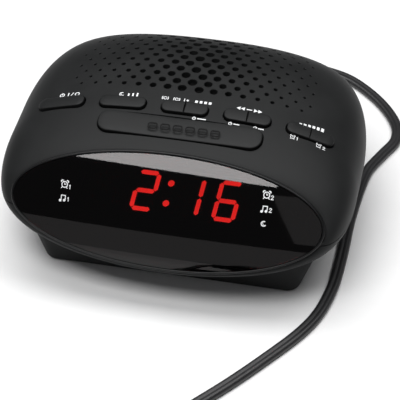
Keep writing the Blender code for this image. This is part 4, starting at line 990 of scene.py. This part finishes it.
def build_cells():
    """Two cells side by side in the bay, facing opposite ways."""
    low = PAD_PROUD + DOOR_THICK + GAP
    r, end = CELL_RADIUS, CELL_LENGTH / 2
    profile = ((0.0, end), (1.7 * MM, end), (1.9 * MM, end - 0.2 * MM), (1.9 * MM, end - 1.0 * MM),
               (r - 0.9 * MM, end - 1.2 * MM), (r - 0.2 * MM, end - 1.3 * MM), (r, end - 1.6 * MM),
               (r, -end + 0.5 * MM), (r - 0.3 * MM, -end + 0.1 * MM), (r - 1.3 * MM, -end), (0.0, -end))
    for number, way in ((1, 1), (2, -1)):
        y = (BAY_FRONT + BAY_REAR) / 2 + way * (r + GAP)
        cell = turned(f"cell_{number}", profile, SLEEVE, placed((0, y, low + r), 90 * way, "Y"), 40)
        finish_piece(cell, "case", (f"backup_cell_{number}",))


def build_jack():
    """The audio socket in the rear, with its mark below it."""
    r, deep, flange = JACK_RADIUS, 13 * MM, 2.8 * MM
    profile = ((1.8 * MM, deep), (5 * MM, deep), (5 * MM, flange), (r, flange), (r, 0.15 * MM),
               (r - 0.15 * MM, 0.0), (2.1 * MM, 0.0), (1.8 * MM, 0.3 * MM))
    jack = turned("aux_jack_look", profile, COMPONENT, placed((JACK_X, REAR_Y, JACK_Z), 90), 40, closed=True)
    finish_piece(jack, "case", ("aux_jack",))

    def back(u, v, height):
        return Vector((JACK_X - u * MM, REAR_Y + height, JACK_Z - 5.6 * MM + v * MM))
    shapes = arc((0, 0), 1.0, -30, 210, 0.3, 16) + disc((-1.0, -0.5), 0.42) + disc((1.0, -0.5), 0.42)
    printed("mark_jack", shapes, back, CASE)


# ---- lead ------------------------------------------------------------------
def smooth_path(points, step):
    """Points about every step along a smooth curve through the given ones."""
    knots = [points[0] * 2 - points[1], *points, points[-1] * 2 - points[-2]]
    fine = []
    for before, start, end, after in zip(knots, knots[1:], knots[2:], knots[3:]):
        count = max(2, round((end - start).length / step))
        for i in range(count):
            t = i / count
            fine.append(0.5 * (2 * start + (end - before) * t
                               + (2 * before - 5 * start + 4 * end - after) * t ** 2
                               + (3 * start - before - 3 * end + after) * t ** 3))
    return fine + [points[-1]]


def on_coil(radius, angle, z):
    """A point on a turn of the coil, in millimetres."""
    return Vector((COIL_CENTRE[0] + radius * math.cos(angle), COIL_CENTRE[1] + radius * math.sin(angle), z))


def coil_points():
    """The wound part: each layer's turns, one inside or outside the next."""
    turns = [(z, radius) for z, radii in COIL_LAYERS for radius in radii]
    count = 24
    points = []
    for index, (z, radius) in enumerate(turns):
        next_z, next_radius = turns[min(index + 1, len(turns) - 1)]
        for i in range(count):
            share = max(0.0, i / count - 0.75) / 0.25
            share = share * share * (3 - 2 * share)
            angle = math.radians(COIL_START) + 2 * math.pi * (index + i / count)
            points.append(on_coil(radius + (next_radius - radius) * share, angle, z + (next_z - z) * share))
    last_z, last_radius = turns[-1]
    return points + [on_coil(last_radius, math.radians(COIL_START + more), last_z) for more in (0, 15)]


def lead_points():
    """The whole lead's centreline, from the case to the plug."""
    route = [*LEAD_ROUTE, *coil_points(), *NECK_ROUTE]
    return [Vector(point) * MM for point in route]


def lead_section():
    """Two cores side by side with a shallow groove between them."""
    core = LEAD_THICK / 2
    offset = LEAD_WIDTH / 2 - core
    points = []
    for side, start in ((1, -125), (-1, 55)):
        for i in range(11):
            angle = math.radians(start + 250 * i / 10)
            points.append((side * offset + core * math.cos(angle), core * math.sin(angle)))
    return points


def swept(name, path, outline, look):
    """A section carried along a path with its own up kept nearest to the world's."""
    rings = []
    for index, point in enumerate(path):
        ahead = (path[min(index + 1, len(path) - 1)] - path[max(index - 1, 0)]).normalized()
        side = ahead.cross(Vector((0, 0, 1))).normalized()
        rise = side.cross(ahead)
        rings.append([point + side * a + rise * b for a, b in outline])
    return lofted(name, rings, look, degrees=50)


def build_relief():
    """The ribbed rubber sleeve that the lead leaves through."""
    r, lip = RELIEF_RADIUS, RELIEF_RADIUS + 0.5 * MM
    collar = r + 0.6 * MM
    profile = [(collar, -5.2 * MM), (collar, -3.5 * MM), (r, -3.5 * MM), (r, 0.4 * MM),
               (lip, 0.8 * MM), (lip, 1.8 * MM)]
    count, start = 8, 2.4 * MM
    pitch = (RELIEF_LENGTH - start) / count
    for i in range(count):
        outer = r - 1.1 * MM * i / count
        neck = outer - 0.7 * MM
        z = start + pitch * i
        profile += [(neck, z), (neck, z + pitch * 0.3), (outer, z + pitch * 0.42), (outer, z + pitch * 0.9)]
    profile.append((2.6 * MM, RELIEF_LENGTH))
    matrix = placed((LEAD_EXIT_X, REAR_Y, LEAD_EXIT_Z), -90)
    relief = turned("strain_relief_look", profile, RUBBER, matrix, 40)
    return finish_piece(relief, "case", ("strain_relief",))


def strap_ring(y, grow):
    """The strap's outline round every turn of the coil's -X side, at y."""
    apart = (LEAD_WIDTH - LEAD_THICK) / 2 / MM
    centres = [Vector((COIL_CENTRE[0] - radius + side * apart, z)) * MM
               for z, radii in COIL_LAYERS for radius in radii for side in (-1, 1)]
    ring = []
    for way in map(Vector, circle(1, 48)):
        furthest = max(centres, key=way.dot) + way * (LEAD_THICK / 2 + grow)
        ring.append(Vector((furthest.x, y, furthest.y)))
    return ring


def build_tie():
    """A flat strap round the coil's -X side."""
    middle, half = COIL_CENTRE[1] * MM, 2.4 * MM
    rings = [strap_ring(middle + y * half, grow * MM) for y, grow in
             ((1.0, 0.12), (1.0, 0.5), (0.9, 0.6), (-0.9, 0.6), (-1.0, 0.5), (-1.0, 0.12))]
    tie = lofted("coil_tie", rings, RUBBER, closed=True)
    return finish_piece(tie, "case", ("cord_tie",))


def build_plug():
    """A flat two-pin plug whose sides draw in to a ribbed neck."""
    shapes = [(0.0, 6.4, 5.4), (0.6, 6.8, 5.8)]    # place along the plug, width and thickness, in millimetres
    for i in range(5):
        x, more = 1.2 + 1.6 * i, 0.3 * i
        shapes += [(x, 6.9 + more, 5.9 + more), (x + 0.5, 6.1 + more, 5.0 + more),
                   (x + 1.0, 6.1 + more, 5.0 + more)]
    shapes += [(9.6, 8.6, 7.6), (10.6, 11.0, 9.0), (12.5, 14.6, 10.6), (16.0, 19.4, 12.2),
               (20.0, 23.0, 13.1), (26.0, 25.3, 13.6), (34.0, 25.5, 13.7), (43.2, 25.5, 13.7),
               (43.8, 25.1, 13.3), (44.0, 24.4, 12.6)]
    rings = []
    for x, wide, thick in shapes:
        half_w, half_t = wide / 2 * MM, thick / 2 * MM
        rings.append([Vector((PLUG_X + x * MM, PLUG_Y + a, PLUG_Z + b))
                      for a, b in oval(half_w, half_t, half_t, 3.6, 72)])
    plug = lofted("plug_body", rings, VINYL, degrees=50)
    grips = []
    for side in (-1, 1):
        z = PLUG_Z + side * 6.6 * MM
        for i in range(6):
            x = PLUG_X + (24 + 2.4 * i) * MM
            grips.append(block("grip", (x, PLUG_Y - 7 * MM, z - 0.3 * MM),
                               (x + 1.1 * MM, PLUG_Y + 7 * MM, z + 0.6 * MM)))
    carve(plug, grips, degrees=50)
    finish_piece(plug, "case", ("mains_plug",))
    pieces = [plug]
    for number, side in enumerate((-1, 1), 1):
        matrix = placed((PLUG_X + PLUG_LENGTH + GAP, PLUG_Y + side * PIN_SPACING / 2, PLUG_Z), 90, "Y")
        profile = [(1.95 * MM, 0.0), (1.9 * MM, 9.8 * MM), (1.75 * MM, 10 * MM)]
        sleeve = turned(f"pin_sleeve_{number}", profile, VINYL, matrix, 32)
        finish_piece(sleeve, "case")
        profile = [(1.7 * MM, 10.05 * MM), (2.0 * MM, 10.15 * MM), (2.0 * MM, 17.6 * MM),
                   (1.8 * MM, 18.3 * MM), (1.3 * MM, 18.8 * MM), (0.6 * MM, 19 * MM)]
        pin = turned(f"pin_{number}", profile, BRASS, matrix, 32)
        finish_piece(pin, "case", (f"plug_pin_{number}",))
        pieces += [sleeve, pin]
    return pieces


def build_lead():
    """The lead, its strain relief, the tie round its coil and the plug."""
    relief = build_relief()
    path = smooth_path(lead_points(), 2.0 * MM)
    lead = swept("mains_lead", path, lead_section(), VINYL)
    finish_piece(lead, "case", ("mains_cord", "cord_coil"))
    pieces = [relief, build_tie()] + build_plug()


# ---- parts that keep their frame shape -------------------------------------
SLOT_LOOKS = {
    "led_red": DISPLAY_FACE, "board_green": BOARD, "switch_grey": COMPONENT, "steel": STEEL,
    "ferrite": FERRITE, "copper": COPPER, "speaker_paper": PAPER, "holder_white": NYLON,
    "cell_sleeve": SLEEVE, "rubber": RUBBER, "lead_black": VINYL, "brass": BRASS,
    "case_black": CASE, "key_black": KEY, "bezel_black": BEZEL, "window_black": LENS,
}


def dress_frame():
    """Gives the frame's own shapes the look of their slot."""
    for entry in frame["record"]["subparts"]:
        node = frame["nodes"][entry["node"]]
        look = SLOT_LOOKS[entry["material_slot"]]
        if not node.material_slots:
            node.data.materials.append(look)
        for slot in node.material_slots:
            slot.material = look


# ---- floor and light -------------------------------------------------------
def lamp(name, spot, aim, size, radiance, turn=0.0):
    """A rectangular light of this radiance that faces aim."""
    light = bpy.data.lights.new(name, "AREA")
    light.shape = "RECTANGLE"
    light.size, light.size_y = size
    light.energy = radiance * math.pi * size[0] * size[1]
    item = bpy.data.objects.new(name, light)
    item.location = spot
    item.rotation_euler = (Vector(aim) - Vector(spot)).to_track_quat("-Z", "Y").to_euler()
    item.rotation_euler.z += math.radians(turn)
    item.visible_camera = False
    bpy.context.scene.collection.objects.link(item)


def build_studio():
    """A white floor, a large soft box, an overhead box and two cards."""
    bm = bmesh.new()
    bmesh.ops.create_grid(bm, x_segments=8, y_segments=8, size=0.9)
    floor = add("floor", bm, FLOOR)
    floor.location.z = -0.02 * MM
    lamp("band_box", (-0.10, -0.30, 0.62), (-0.10, -0.30, 0), (0.38, 0.24), 9.5, -9)
    lamp("overhead", (0.0, 0.16, 0.75), (0.0, 0.16, 0), (1.0, 0.5), 4.3)
    lamp("front_card", (0.0, -0.62, 0.085), (0.0, 0.0, 0.06), (1.1, 0.17), 0.42)
    lamp("side_card", (0.130, -0.43, 0.31), (0.04, -0.05, 0.04), (0.11, 0.28), 0.36)
    world = bpy.data.worlds.new("studio")
    world.use_nodes = True
    world.node_tree.nodes["Background"].inputs["Color"].default_value = (0.5, 0.5, 0.52, 1)
    world.node_tree.nodes["Background"].inputs["Strength"].default_value = WORLD_STRENGTH
    bpy.context.scene.world = world
    bpy.context.scene.view_settings.view_transform = "Standard"


build_camera()
build_lead()
build_top_cover()
build_bottom_case()
build_seam_tongue()
build_front()
build_digits()
build_keys()
build_marks()
build_feet()
build_screw_recess_shades()
build_door()
build_cells()
build_jack()
dress_frame()
build_studio()
